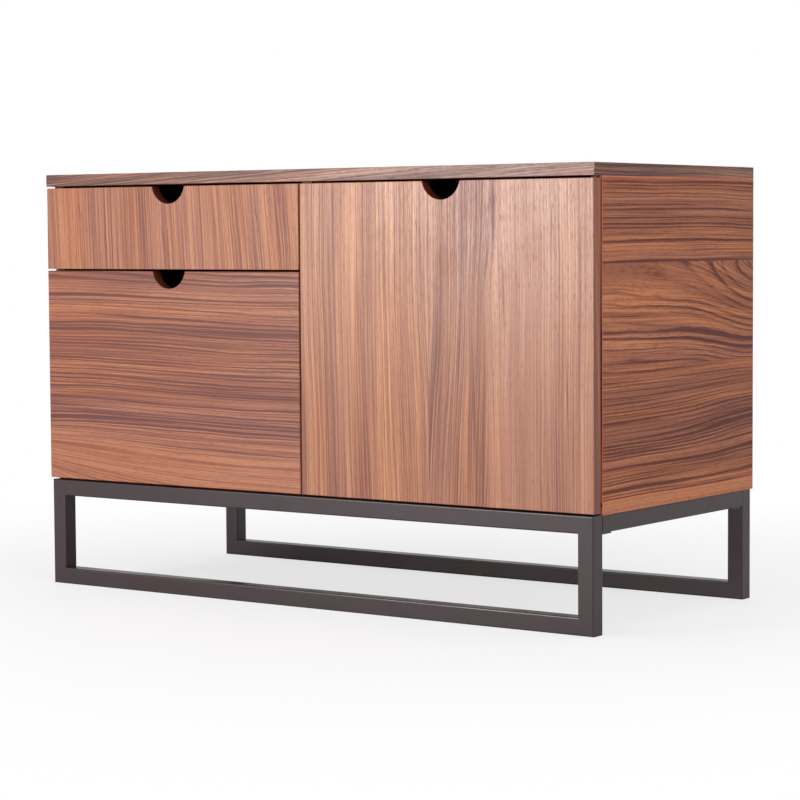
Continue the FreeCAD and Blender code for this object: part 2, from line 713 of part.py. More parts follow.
def channel(wall_x, inward, web, reach, half, web_wall, flange_wall, middle_z, y0, y1):
    """A C-section along Y. web is the distance of its web's outer face from the wall."""
    turn = 1 if reach > 0 else -1
    tip = web + reach
    inside = web + turn * web_wall
    outline = [(web, -half), (tip, -half), (tip, -half + flange_wall),
               (inside, -half + flange_wall), (inside, half - flange_wall),
               (tip, half - flange_wall), (tip, half), (web, half)]
    points = [V(wall_x + inward * u, y0, middle_z + v) for u, v in outline]
    return prism(points, V(0, y1 - y0, 0))


def slide_screw_rows():
    """Y of the screws along a slide member."""
    return (SLIDE_Y0 + SLIDE_SCREW_FRONT, SLIDE_Y1 - SLIDE_SCREW_REAR)


def member_screw(place, direction, extra):
    """A flat screw whose head lies on a slide member's web at place."""
    length = SLIDE_STEEL + SLIDE_SCREW_BITE
    if extra:
        return shank(SLIDE_SCREW_RADIUS + extra, place, direction, length + extra)
    head_top = place - direction * SLIDE_SCREW_HEAD_HEIGHT
    return screw(SLIDE_SCREW_RADIUS, SLIDE_SCREW_HEAD, SLIDE_SCREW_HEAD_HEIGHT, head_top,
                 direction, length)


def cabinet_slide_screws(wall_x, extra):
    """Screws of both drawers' cabinet members into the side panel or the divider."""
    screws = []
    inward = 1 if wall_x == -INNER_X else -1
    for drawer in DRAWERS.values():
        for y in slide_screw_rows():
            place = V(wall_x + inward * SLIDE_STEEL, y, drawer.slide_z)
            screws.append(member_screw(place, V(-inward, 0, 0), extra))
    return screws


DRAWERS = {
    "upper": Drawer(UPPER_FRONT_Z0, FRONTS_Z1, UPPER_BOX_RISE, UPPER_BOX_HEADROOM,
                    UPPER_SLIDE_RISE),
    "lower": Drawer(FRONTS_Z0, LOWER_FRONT_Z1, LOWER_BOX_RISE, LOWER_BOX_HEADROOM,
                    LOWER_SLIDE_RISE),
}


# ---- door and hinges ------------------------------------------------------------------------
def hinge_rows():
    """Height of each hinge."""
    return (FRONTS_Z0 + CUP_MARGIN, FRONTS_Z1 - CUP_MARGIN)


def cup_screws(extra):
    """Two screws through each cup's flange into the door."""
    screws = []
    x = CUP_X - FLANGE_WIDTH / 2
    for z in hinge_rows():
        for way in (-1, 1):
            place = V(x, FRONT_BACK_Y + FLANGE, z + way * CUP_SCREW_SPACING / 2)
            length = FLANGE + CUP_SCREW_BITE
            if extra:
                screws.append(shank(CUP_SCREW_RADIUS + extra, place, V(0, -1, 0), length + extra))
            else:
                head_top = place + V(0, CUP_SCREW_HEAD_HEIGHT, 0)
                screws.append(screw(CUP_SCREW_RADIUS, CUP_SCREW_HEAD, CUP_SCREW_HEAD_HEIGHT,
                                    head_top, V(0, -1, 0), length))
    return screws


def door():
    panel = front(FRONT_X0, FRONT_X1, FRONTS_Z0, FRONTS_Z1)
    bores = [peg(CUP_RADIUS, V(CUP_X, FRONT_BACK_Y, z), V(0, -1, 0), CUP_DEPTH, CUP_SIDES)
             for z in hinge_rows()]
    return cut(panel, bores + cup_screws(SCREW_FIT))


def hinge_cups():
    """Pressed cups with a flange on the door's back face."""
    cups = []
    for z in hinge_rows():
        depth = CUP_DEPTH - CUP_FLOOR_GAP
        mouth = V(CUP_X, FRONT_BACK_Y, z)
        bowl = peg(CUP_RADIUS - CUP_FIT, mouth, V(0, -1, 0), depth, CUP_SIDES)
        lip = peg(CUP_RADIUS + CUP_LIP, mouth, Y_AXIS, FLANGE, CUP_SIDES)
        wing = box(CUP_X - FLANGE_WIDTH, CUP_X, FRONT_BACK_Y, FRONT_BACK_Y + FLANGE,
                   z - FLANGE_LENGTH / 2, z + FLANGE_LENGTH / 2)
        hollow = peg(CUP_RADIUS - CUP_FIT - CUP_WALL, mouth + V(0, FLANGE, 0), V(0, -1, 0),
                     FLANGE + depth - CUP_WALL, CUP_SIDES)
        cups.append(bowl.fuse([lip, wing]).cut([hollow] + cup_screws(SCREW_FIT)))
    return cups


def arm_point(inset, back):
    """A point given by its distance in from the side panel and back from the carcass front."""
    return V(INNER_X - inset, CARCASS_Y + back, 0)


def cup_point(inset, forward):
    """A point given by its distance in from the door's edge and forward from its back."""
    return V(FRONT_X1 - inset, FRONT_BACK_Y - forward, 0)


def at_heights(shape):
    """A copy of a hinge piece at each hinge's height."""
    copies = []
    for z in hinge_rows():
        copy = shape.copy()
        copy.translate(V(0, 0, z))
        copies.append(copy)
    return copies


def hinge_arm():
    """A cranked channel, open to the side panel and at its nose."""
    def outline(shrink):
        nose = NOSE_HEIGHT - shrink
        rear = REAR_HEIGHT - shrink
        front_y = ARM_FRONT_GAP - shrink
        back_y = ARM_LENGTH + ARM_FRONT_GAP + shrink
        crank0 = ARM_FRONT_GAP + NOSE_LENGTH
        crank1 = crank0 + CRANK_LENGTH
        return [arm_point(nose, front_y), arm_point(CHEEK_NOSE_REACH - shrink, front_y),
                arm_point(CHEEK_REACH - shrink, crank0), arm_point(CHEEK_REACH - shrink, back_y),
                arm_point(rear, back_y), arm_point(rear, crank1), arm_point(nose, crank0)]

    inner_half = ARM_HALF_WIDTH - ARM_STEEL
    outer = prism([p - Z_AXIS * ARM_HALF_WIDTH for p in outline(0)], Z_AXIS * 2 * ARM_HALF_WIDTH)
    inner = prism([p - Z_AXIS * inner_half for p in outline(ARM_STEEL)], Z_AXIS * 2 * inner_half)
    mouth = [arm_point(CHEEK_NOSE_REACH - ARM_STEEL, -ARM_STEEL),
             arm_point(0, -ARM_STEEL), arm_point(0, ARM_LENGTH + 2 * ARM_STEEL),
             arm_point(CHEEK_REACH, ARM_LENGTH + 2 * ARM_STEEL),
             arm_point(CHEEK_REACH, ARM_FRONT_GAP + NOSE_LENGTH),
             arm_point(CHEEK_NOSE_REACH, 0)]
    opening = prism([p - Z_AXIS * inner_half for p in mouth], Z_AXIS * 2 * inner_half)
    return outer.cut([inner, opening] + pivot_pins() + [arm_screw(SCREW_FIT)])


def pivot_pins():
    """The two riveted pins across the arm's cheeks."""
    pins = []
    for inset, back in ((OUTER_ARM_INSET, OUTER_ARM_BACK), (INNER_ARM_INSET, INNER_ARM_BACK)):
        start = arm_point(inset, back) - Z_AXIS * ARM_HALF_WIDTH
        pins.append(rod(PIVOT_RADIUS, start, Z_AXIS, 2 * ARM_HALF_WIDTH))
    return pins


def arm_screw(extra):
    """The screw that clamps the arm on its plate."""
    place = arm_point(REAR_HEIGHT, ARM_SCREW_BACK)
    length = ARM_STEEL + ARM_SCREW_BITE
    if extra:
        return shank(PLATE_SCREW_RADIUS + extra, place, X_AXIS, length + extra)
    head_top = place - X_AXIS * PLATE_SCREW_HEAD_HEIGHT
    return screw(PLATE_SCREW_RADIUS, PLATE_SCREW_HEAD, PLATE_SCREW_HEAD_HEIGHT, head_top,
                 X_AXIS, length)


def plate_screws(extra):
    """Screws of the mounting plates into the side panel."""
    screws = []
    for z in hinge_rows():
        for way in (-1, 1):
            place = arm_point(PLATE_BASE, PLATE_BACK) + Z_AXIS * (z + way * PLATE_SCREW_SPACING / 2)
            length = PLATE_BASE + PLATE_SCREW_BITE
            if extra:
                screws.append(shank(PLATE_SCREW_RADIUS + extra, place, X_AXIS, length + extra))
            else:
                head_top = place - X_AXIS * PLATE_SCREW_HEAD_HEIGHT
                screws.append(screw(PLATE_SCREW_RADIUS, PLATE_SCREW_HEAD,
                                    PLATE_SCREW_HEAD_HEIGHT, head_top, X_AXIS, length))
    return screws


def mounting_plates():
    """Cross-shaped plates on the side panel with a saddle for the arm."""
    plates = []
    half = ARM_HALF_WIDTH - ARM_STEEL - SADDLE_PLAY
    saddle_top = INNER_X - REAR_HEIGHT + ARM_STEEL
    screw_y = CARCASS_Y + PLATE_BACK
    for z in hinge_rows():
        base = box(INNER_X - PLATE_BASE, INNER_X, screw_y - PLATE_LENGTH / 2,
                   screw_y + PLATE_LENGTH / 2, z - PLATE_SPAN / 2, z + PLATE_SPAN / 2)
        saddle = box(saddle_top, INNER_X, CARCASS_Y + SADDLE_FRONT + CRANK_LENGTH / 2,
                     CARCASS_Y + SADDLE_FRONT + CRANK_LENGTH / 2 + SADDLE_LENGTH,
                     z - half, z + half)
        hole = arm_screw(SCREW_FIT)
        hole.translate(V(0, 0, z))
        plates.append(base.fuse(saddle).cut([hole] + plate_screws(SCREW_FIT)))
    return plates


def link_plate(points, z0, z1, bore):
    """A cranked link: three points joined by round-ended bars, bored at the first."""
    low = Z_AXIS * z0
    tall = z1 - z0
    solid = peg(EYE_RADIUS, points[0] + low, Z_AXIS, tall, LINK_SIDES)
    for start, end in zip(points, points[1:]):
        along = end - start
        across = V(-along.y, along.x, 0).normalize() * LINK_HALF_WIDTH
        corners = [start + across + low, end + across + low, end - across + low,
                   start - across + low]
        bar = prism(corners, Z_AXIS * tall)
        round_end = peg(LINK_HALF_WIDTH, end + low, Z_AXIS, tall, LINK_SIDES)
        solid = solid.fuse([bar, round_end])
    hole = rod(bore, points[0] + low - Z_AXIS * CUT_OVER, Z_AXIS, tall + 2 * CUT_OVER)
    return solid.cut(hole).removeSplitter()


def outer_link():
    """A U-shaped link: two cheeks, a bridge behind the arm's pivot and a stub on each cheek."""
    pivot = arm_point(OUTER_ARM_INSET, OUTER_ARM_BACK)
    points = [pivot, cup_point(OUTER_BEND_INSET, OUTER_BEND_FORWARD),
              cup_point(OUTER_CUP_INSET, OUTER_CUP_FORWARD)]
    low = OUTER_LINK_INSIDE
    high = OUTER_LINK_OUTSIDE
    bore = PIVOT_RADIUS + PIVOT_FIT
    cheeks = [link_plate(points, low, high, bore), link_plate(points, -high, -low, bore)]
    bridge = box(pivot.x - BRIDGE_HALF, pivot.x + BRIDGE_HALF, pivot.y + BRIDGE_BACK + PIVOT_FIT,
                 pivot.y + BRIDGE_BACK + PIVOT_FIT + BRIDGE_THICKNESS, -high, high)
    stubs = [peg(PIVOT_RADIUS, points[2] + Z_AXIS * low, Z_AXIS, OUTER_STUB - low),
             peg(PIVOT_RADIUS, points[2] - Z_AXIS * low, -Z_AXIS, OUTER_STUB - low)]
    keep_out = rod(bore, pivot - Z_AXIS * high, Z_AXIS, 2 * high)
    return cheeks[0].fuse([cheeks[1], bridge] + stubs).cut(keep_out)


def inner_link():
    """A single cranked link in the middle of the hinge."""
    points = [arm_point(INNER_ARM_INSET, INNER_ARM_BACK),
              cup_point(INNER_BEND_INSET, INNER_BEND_FORWARD),
              cup_point(INNER_CUP_INSET, INNER_CUP_FORWARD)]
    return link_plate(points, -INNER_LINK_HALF, INNER_LINK_HALF, PIVOT_RADIUS + PIVOT_FIT)


def door_buffers():
    """Soft pads on the door's back, where it meets the divider's edge."""
    pads = []
    thickness = CARCASS_GAP - BUFFER_GAP
    x = FRONT_X0 + (DIVIDER_X - FRONT_X0) / 2
    radius = min(BUFFER_RADIUS, (DIVIDER_X - FRONT_X0) / 2)
    for z in (FRONTS_Z0 + BUFFER_MARGIN, FRONTS_Z1 - BUFFER_MARGIN):
        pads.append(peg(radius, V(x, FRONT_BACK_Y, z), Y_AXIS, thickness, BUFFER_SIDES))
    return pads


# ---- the whole --------------------------------------------------------------------------------
def build():
    """Every node of the credenza, by name."""
    nodes = {
        "top_panel": top_panel(),
        "bottom_panel": bottom_panel(),
        "left_side_panel": side_panel(-1),
        "right_side_panel": side_panel(1),
        "centre_divider": centre_divider(),
        "back_panel": back_panel(),
        "cam_fittings": [barrel.cut(cam_bolts(SCREW_FIT)) for barrel in cams(0)],
        "cam_bolts": cam_bolts(0),
        "dowels": dowels(0),
        "shelf": shelf(),
        "shelf_pins": shelf_pins(),
        "left_side_rail": side_rail(-1),
        "right_side_rail": side_rail(1),
        "frame_tabs": frame_tabs(),
        "frame_screws": frame_screws(),
        "door": door(),
        "door_buffers": door_buffers(),
        "hinge_cups": hinge_cups(),
        "hinge_cup_screws": cup_screws(0),
        "hinge_arms": at_heights(hinge_arm()),
        "hinge_pivot_pins": [pin for place in pivot_pins() for pin in at_heights(place)],
        "hinge_plates": mounting_plates(),
        "hinge_outer_links": at_heights(outer_link()),
        "hinge_inner_links": at_heights(inner_link()),
        "cabinet_screws": (at_heights(arm_screw(0)) + plate_screws(0)
                           + cabinet_slide_screws(-INNER_X, 0)
                           + cabinet_slide_screws(-DIVIDER_X, 0)),
    }
    for end, y0 in LOOPS.items():
        for name, shape in loop(y0).items():
            nodes[end + "_" + name] = shape
    for level, drawer in DRAWERS.items():
        for name, shape in drawer.pieces().items():
            nodes[level + "_drawer_" + name] = shape
        for name, shape in drawer.slide_pieces().items():
            nodes[level + "_slide_" + name] = shape
    return nodes


os.makedirs("parts", exist_ok=True)
for node, solids in build().items():
    write(node, solids)
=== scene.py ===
"""Dresses the office credenza: walnut veneers, powder-coated frame, fittings and a plain stage.

Metres. X runs to the right, Y to the back and Z up, with the origin on the floor under the
cabinet's middle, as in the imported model.
"""
import json
import math

import bmesh
import bpy
from bpy.props import FloatProperty, FloatVectorProperty, IntProperty, PointerProperty
from mathutils import Matrix, Vector

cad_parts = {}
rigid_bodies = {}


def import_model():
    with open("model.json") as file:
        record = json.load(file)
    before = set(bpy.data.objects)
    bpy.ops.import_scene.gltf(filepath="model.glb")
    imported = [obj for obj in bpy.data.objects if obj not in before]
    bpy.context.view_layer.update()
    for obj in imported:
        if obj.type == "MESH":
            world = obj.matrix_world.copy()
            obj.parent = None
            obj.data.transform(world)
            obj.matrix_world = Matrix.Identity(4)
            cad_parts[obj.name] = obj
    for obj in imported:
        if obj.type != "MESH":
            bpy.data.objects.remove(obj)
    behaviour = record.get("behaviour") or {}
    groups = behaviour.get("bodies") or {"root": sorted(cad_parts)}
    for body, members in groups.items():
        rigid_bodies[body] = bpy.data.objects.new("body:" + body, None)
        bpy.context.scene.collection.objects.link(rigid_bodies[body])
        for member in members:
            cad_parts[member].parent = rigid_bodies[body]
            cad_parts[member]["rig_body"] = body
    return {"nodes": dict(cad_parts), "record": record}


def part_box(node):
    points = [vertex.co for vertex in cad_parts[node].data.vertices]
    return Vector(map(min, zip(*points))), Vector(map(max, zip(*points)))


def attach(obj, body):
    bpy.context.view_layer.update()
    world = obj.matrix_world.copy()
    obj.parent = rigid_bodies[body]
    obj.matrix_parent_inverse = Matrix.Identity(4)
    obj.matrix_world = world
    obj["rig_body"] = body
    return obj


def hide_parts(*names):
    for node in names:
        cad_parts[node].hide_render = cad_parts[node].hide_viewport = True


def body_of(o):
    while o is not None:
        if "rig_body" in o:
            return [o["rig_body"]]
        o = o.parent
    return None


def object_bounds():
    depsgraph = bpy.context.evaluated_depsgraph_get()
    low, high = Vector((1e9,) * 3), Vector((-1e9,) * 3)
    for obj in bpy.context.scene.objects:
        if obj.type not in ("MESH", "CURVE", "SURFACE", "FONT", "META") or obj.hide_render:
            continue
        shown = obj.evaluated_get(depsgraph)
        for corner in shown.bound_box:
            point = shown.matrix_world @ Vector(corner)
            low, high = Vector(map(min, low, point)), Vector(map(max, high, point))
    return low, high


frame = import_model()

bl_info = {
    "name": "Office Credenza",
    "version": (1, 0, 0),
    "blender": (4, 5, 0),
    "location": "View3D > Sidebar > Credenza",
    "description": "Veneers, frame finish, fittings and stage for the office credenza",
    "category": "Object",
}

CAD_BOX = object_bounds()
NODES = frame["nodes"]
WHITE = (1.0, 1.0, 1.0, 1.0)

# Places on the cabinet.
SIDE_LOW, SIDE_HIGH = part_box("right_side_panel")
SIDE_FRONT = SIDE_LOW.y     # the side panels' front edges
SIDE_FOOT = SIDE_LOW.z      # where they stand on the bottom panel
SIDE_HEAD = SIDE_HIGH.z     # where they carry the top panel
NOTCH_RADIUS = 0.0325
NOTCH_RISE = 0.0063         # a notch's middle above its front's top edge

# The camera, and the softboxes: name, place, the point it faces, size, and its power's setting.
CAMERA_PLACE = (2.2747, -3.1356, 0.5482)
CAMERA_TURN = (35.75832, -3.78400, -0.35791)    # yaw, pitch and roll in degrees
SOFTBOXES = (
    ("Front softbox", (-1.36, -2.9, 0.88), (0.1, -0.1, 0.45), 0.85, "key"),
    ("Side softbox", (3.3, -1.7, 1.7), (0.4, 0.0, 0.35), 1.6, "side"),
    ("Top softbox", (0.0, -0.3, 3.2), (0.0, 0.0, 0.0), 3.0, "top"),
)


# ---- settings ----
def colour(label, what, value):
    """A colour property."""
    return FloatVectorProperty(name=label, description=what, default=value, size=3,
                               min=0.0, max=1.0, subtype="COLOR")


def length(label, what, value):
    """A length property, in metres."""
    return FloatProperty(name=label, description=what, default=value, min=0.0,
                         subtype="DISTANCE", unit="LENGTH", precision=4)


def share(label, what, value):
    """A property without a unit."""
    return FloatProperty(name=label, description=what, default=value, min=0.0, max=1.5,
                         subtype="FACTOR")


def power(label, what, value):
    """A lamp's power, in watts."""
    return FloatProperty(name=label, description=what, default=value, unit="POWER")


TONES = {
    "light": ("Light wood", "Pale wood between the growth lines"),
    "middle": ("Middle wood", "Main colour"),
    "dark": ("Dark wood", "Growth lines"),
}
GROWTH = {
    "spacing": (length, "Line spacing", "Distance between two growth lines"),
    "lines": (share, "Line depth", "How dark the growth lines are"),
    "band": (length, "Band width", "Width of the broad light and dark bands"),
    "bands": (share, "Band depth", "Contrast of the broad bands"),
    "wave": (length, "Wave height", "How far the grain wanders"),
    "run": (length, "Wave length", "Distance along the grain between two waves"),
    "streaks": (share, "Streaks", "Contrast of the fine streaks"),
}


def veneer(part, tones, growth):
    """A property group for one veneer: defaults of its tones and of its growth, in order."""
    words = {key: colour(*TONES[key], tone) for key, tone in zip(TONES, tones)}
    for (key, (kind, label, what)), value in zip(GROWTH.items(), growth):
        words[key] = kind(label, what, value)
    return type("CREDENZA_PG_" + part, (bpy.types.PropertyGroup,), {"__annotations__": words})


VENEERS = {
    "door": veneer("door", ((0.595, 0.287, 0.160), (0.395, 0.165, 0.092), (0.17, 0.053, 0.039)),
                   (0.0058, 0.34, 0.034, 0.62, 0.0048, 0.42, 0.76)),
    "upper": veneer("upper", ((0.52, 0.220, 0.106), (0.36, 0.130, 0.066), (0.18, 0.052, 0.032)),
                    (0.0056, 0.42, 0.026, 0.52, 0.0042, 0.26, 0.92)),
    "lower": veneer("lower", ((0.45, 0.176, 0.085), (0.280, 0.087, 0.047), (0.125, 0.034, 0.026)),
                    (0.0058, 1.40, 0.030, 0.62, 0.0035, 0.34, 0.90)),
    "side": veneer("side", ((0.52, 0.192, 0.082), (0.315, 0.106, 0.056), (0.110, 0.028, 0.018)),
                   (0.0062, 0.95, 0.024, 0.56, 0.0035, 0.36, 0.80)),
    "top": veneer("top", ((0.41, 0.200, 0.132), (0.23, 0.088, 0.058), (0.065, 0.020, 0.015)),
                  (0.0046, 0.66, 0.024, 0.66, 0.0030, 0.30, 1.10)),
    "inner": veneer("inner", ((0.46, 0.22, 0.13), (0.33, 0.14, 0.09), (0.13, 0.05, 0.04)),
                    (0.0055, 0.40, 0.030, 0.50, 0.0035, 0.36, 0.65)),
    "back": veneer("back", ((0.40, 0.20, 0.12), (0.28, 0.13, 0.085), (0.12, 0.05, 0.04)),
                   (0.0060, 0.40, 0.036, 0.50, 0.0035, 0.40, 0.65)),
    "birch": veneer("birch", ((0.80, 0.62, 0.41), (0.69, 0.50, 0.31), (0.47, 0.31, 0.18)),
                    (0.0070, 0.16, 0.040, 0.40, 0.0040, 0.50, 0.34)),
}


class CREDENZA_PG_metal(bpy.types.PropertyGroup):
    """Colours of the frame and of the fittings."""

    bronze: colour("Frame", "Powder coat of the square tubes", (0.033, 0.017, 0.020))
    black: colour("Black screws", "Black oxide", (0.03, 0.03, 0.032))
    nickel: colour("Nickel", "Plating of the hinges", (0.62, 0.60, 0.57))
    zinc: colour("Zinc", "Plating of the drawer slides", (0.60, 0.62, 0.65))
    nylon: colour("Nylon", "Ball retainers", (0.035, 0.035, 0.037))
    pad: colour("Pads", "Soft clear pads", (0.60, 0.60, 0.57))
    peel: share("Peel", "Texture of the powder coat", 0.12)


class CREDENZA_PG_fittings(bpy.types.PropertyGroup):
    """Sizes of the small fittings."""

    ball: length("Ball", "Radius of a slide's balls", 0.00165)
    pitch: length("Ball pitch", "Distance between two balls", 0.0062)
    bead: length("Weld bead", "Radius of the beads at the welded tabs", 0.0011)
    ripple: length("Weld ripple", "Unevenness of the beads", 0.0003)
    seed: IntProperty(name="Weld seed", description="Start of the beads' unevenness", default=4)


class CREDENZA_PG_stage(bpy.types.PropertyGroup):
    """Floor, light and camera."""

    floor: colour("Floor", "Plain pale floor", (0.93, 0.93, 0.935))
    ambient: share("Ambient", "Light from all round", 0.44)
    key: power("Front light", "Softbox before the fronts", 46.0)
    side: power("Side light", "Softbox beside the cabinet", 46.0)
    top: power("Top light", "Softbox over the cabinet", 26.0)
    lens: FloatProperty(name="Lens", description="Focal length in millimetres", default=114.37,
                        subtype="DISTANCE_CAMERA")


GROUPS = {**VENEERS, "metal": CREDENZA_PG_metal, "fittings": CREDENZA_PG_fittings,
          "stage": CREDENZA_PG_stage}
CREDENZA_PG_all = type("CREDENZA_PG_all", (bpy.types.PropertyGroup,), {"__annotations__": {
    key: PointerProperty(type=kind) for key, kind in GROUPS.items()}})


def settings():
    """All the credenza's settings."""
    return bpy.context.scene.credenza


# ---- node trees ----
class Tree:
    """Adds nodes to a tree and links them."""

    def __init__(self, tree):
        self.tree = tree

    def feed(self, socket, value):
        """Link a socket, or set its value."""
        if isinstance(value, bpy.types.NodeSocket):
            self.tree.links.new(value, socket)
        elif value is not None:
            socket.default_value = value

    def add(self, kind, values=(), **options):
        """A node with its options, and its inputs by name or number."""
        node = self.tree.nodes.new(kind)
        for name, option in options.items():
            setattr(node, name, option)
        for key, value in dict(values).items():
            self.feed(node.inputs[key], value)
        return node

    def math(self, operation, *values):
        return self.add("ShaderNodeMath", enumerate(values), operation=operation).outputs[0]

    def sum(self, *terms):
        total = terms[0]
        for term in terms[1:]:
            total = self.math("ADD", total, term)
        return total

    def times(self, *terms):
        total = terms[0]
        for term in terms[1:]:
            total = self.math("MULTIPLY", total, term)
        return total

    def less(self, first, second):
        return self.math("SUBTRACT", first, second)

    def per(self, first, second):
        return self.math("DIVIDE", first, second)

    def size(self, value):
        return self.math("ABSOLUTE", value)

    def most(self, first, second):
        return self.math("MAXIMUM", first, second)

    def over(self, value, limit):
        """1 above the limit, 0 below."""
        return self.math("GREATER_THAN", value, limit)

    def near(self, value, place, reach):
        """1 within the reach of a place, 0 outside."""
        return self.math("LESS_THAN", self.size(self.less(value, place)), reach)

    def distance(self, first, second):
        """How far a place is from zero, by its two parts."""
        return self.math("SQRT", self.sum(self.times(first, first), self.times(second, second)))

    def bell(self, value, middle=0.0, width=1.0, sharp=-1.0):
        """1 at the middle, falling to 0 to both sides."""
        away = self.per(self.less(value, middle), width)
        return self.math("EXPONENT", self.times(sharp, away, away))

    def parts(self, vector):
        """X, Y and Z of a vector."""
        return self.add("ShaderNodeSeparateXYZ", {0: vector}).outputs

    def vector(self, x, y, z):
        return self.add("ShaderNodeCombineXYZ", {0: x, 1: y, 2: z}).outputs[0]

    def scaled(self, vector, scale):
        return self.add("ShaderNodeVectorMath", {0: vector, "Scale": scale},
                        operation="SCALE").outputs[0]

    def noise(self, vector, detail=2.0, rough=0.5):
        """Noise of unit scale, centred on zero."""
        made = self.add("ShaderNodeTexNoise", {"Vector": vector, "Scale": 1.0, "Detail": detail,
                                               "Roughness": rough}).outputs[0]
        return self.less(made, 0.5)

    def ramp(self, value, low, high):
        """0 below low, 1 above high and smooth between."""
        return self.add("ShaderNodeMapRange", {0: value, 1: low, 2: high, 3: 0.0, 4: 1.0},
                        interpolation_type="SMOOTHSTEP").outputs[0]

    def fall(self, value, low, high):
        """1 below low, 0 above high and smooth between."""
        return self.less(1.0, self.ramp(value, low, high))

    def mix(self, share_of_second, first, second):
        """A number between two numbers."""
        return self.add("ShaderNodeMix", {0: share_of_second, 2: first, 3: second},
                        data_type="FLOAT").outputs[0]

    def blend(self, share_of_second, first, second, how="MIX"):
        """A colour between two colours."""
        return self.add("ShaderNodeMix", {0: share_of_second, 6: first, 7: second},
                        data_type="RGBA", blend_type=how).outputs[2]


def opaque(rgb, lighter=1.0):
    """A colour with its alpha, lighter or darker by a factor."""
    return (*(min(tone * lighter, 1.0) for tone in rgb), 1.0)


def new_group(name, inputs, outputs, tree_kind="ShaderNodeTree"):
    """A node group with inputs given by a default number or by a kind, and outputs by kind.

    Returns its Tree and its input sockets.
    """
    group = bpy.data.node_groups.new(name, tree_kind)
    for label, given in inputs.items():
        numbered = isinstance(given, float)
        socket = group.interface.new_socket(
            label, in_out="INPUT", socket_type="NodeSocket" + ("Float" if numbered else given))
        if numbered:
            socket.default_value = given
    for label, kind in outputs.items():
        group.interface.new_socket(label, in_out="OUTPUT", socket_type="NodeSocket" + kind)
    t = Tree(group)
    return t, t.add("NodeGroupInput").outputs


def close_group(t, **values):
    """Feed a group's outputs by name; returns the finished group."""
    out = t.add("NodeGroupOutput")
    for name, value in values.items():
        t.feed(out.inputs[name], value)
    return t.tree


def grain_group():
    """Turns a place on a board into a place in its veneer: along, across and through.

    Edges are banded, so their grain runs along the edge. Upright X and Upright Y say whether
    the grain stands on the faces that look along X and along Y.
    """
    t, given = new_group("Grain direction", {"Place": "Vector", "Facing": "Vector",
                                             "Upright X": 0.0, "Upright Y": 0.0},
                         {"Grain": "Vector"})
    x, y, z = t.parts(given["Place"])
    nx, ny, _ = t.parts(given["Facing"])
    on_x = t.over(t.size(nx), 0.75)
    on_y = t.over(t.size(ny), 0.6)

    def facing(upright, level, into):
        """Place in the veneer of a face: level is its level axis, into the one it looks along."""
        return t.mix(upright, level, z), t.mix(upright, z, level), into

    faces = zip(facing(given["Upright X"], y, x), facing(given["Upright Y"], x, y), (x, y, z))
    return close_group(t, Grain=t.vector(*[
        t.mix(on_x, t.mix(on_y, on_z_face, on_y_face), on_x_face)
        for on_x_face, on_y_face, on_z_face in faces]))


def leaves_group():
    """Splits a face into leaves of veneer at three joints across the grain."""
    t, given = new_group("Veneer leaves", {"Grain": "Vector", "Joint 1": 10.0, "Joint 2": 20.0,
                                           "Joint 3": 30.0},
                         {"Leaf": "Float", "Joint": "Float"})
    across = t.parts(given["Grain"])[1]
    joints = [given[f"Joint {number}"] for number in (1, 2, 3)]
    first, second, third = [t.size(t.less(across, joint)) for joint in joints]
    nearest = t.math("MINIMUM", first, t.math("MINIMUM", second, third))
    return close_group(t, Leaf=t.sum(*[t.over(across, joint) for joint in joints]),
                       Joint=t.fall(nearest, 0.0001, 0.0005))


def crown_group():
    """The nested arches of a flat-sawn leaf: how far they shift the growth lines."""
    t, given = new_group("Crown figure", {"Grain": "Vector", "Along": 0.0, "Across": 0.0,
                                          "Reach": 0.33, "Height": 0.11, "Spread": 0.8},
                         {"Shift": "Float"})
    u, v, _ = t.parts(given["Grain"])
    du = t.math("TANH", t.per(t.less(u, given["Along"]), given["Reach"]))
    radius = t.distance(t.times(du, given["Height"]), t.less(v, given["Across"]))
    return close_group(t, Shift=t.less(t.times(radius, given["Spread"], -1.0), v))


def eye_group():
    """A lens-shaped eye that pushes the growth lines apart."""
    t, given = new_group("Eye figure", {"Grain": "Vector", "Along": 0.0, "Across": 0.0,
                                        "Length": 0.07, "Width": 0.01, "Push": 0.008},
                         {"Shift": "Float"})
    u, v, _ = t.parts(given["Grain"])
    fade = t.bell(u, given["Along"], given["Length"])
    dv = t.per(t.less(v, given["Across"]), given["Width"])
    return close_group(t, Shift=t.times(t.math("TANH", dv), fade, t.bell(dv, sharp=-0.06),
                                        given["Push"], -1.0))


def fleck_group():
    """A slim dark mark along the grain, pointed at both ends."""
    t, given = new_group("Fleck", {"Grain": "Vector", "Along": 0.0, "Across": 0.0,
                                   "Length": 0.02, "Width": 0.002, "Slope": 0.0},
                         {"Fleck": "Float"})
    u, v, _ = t.parts(given["Grain"])
    along = t.less(u, given["Along"])
    across = t.less(t.less(v, given["Across"]), t.times(along, given["Slope"]))
    away = t.sum(t.size(t.per(along, given["Length"])), t.size(t.per(across, given["Width"])))
    return close_group(t, Fleck=t.fall(away, 0.1, 1.0))


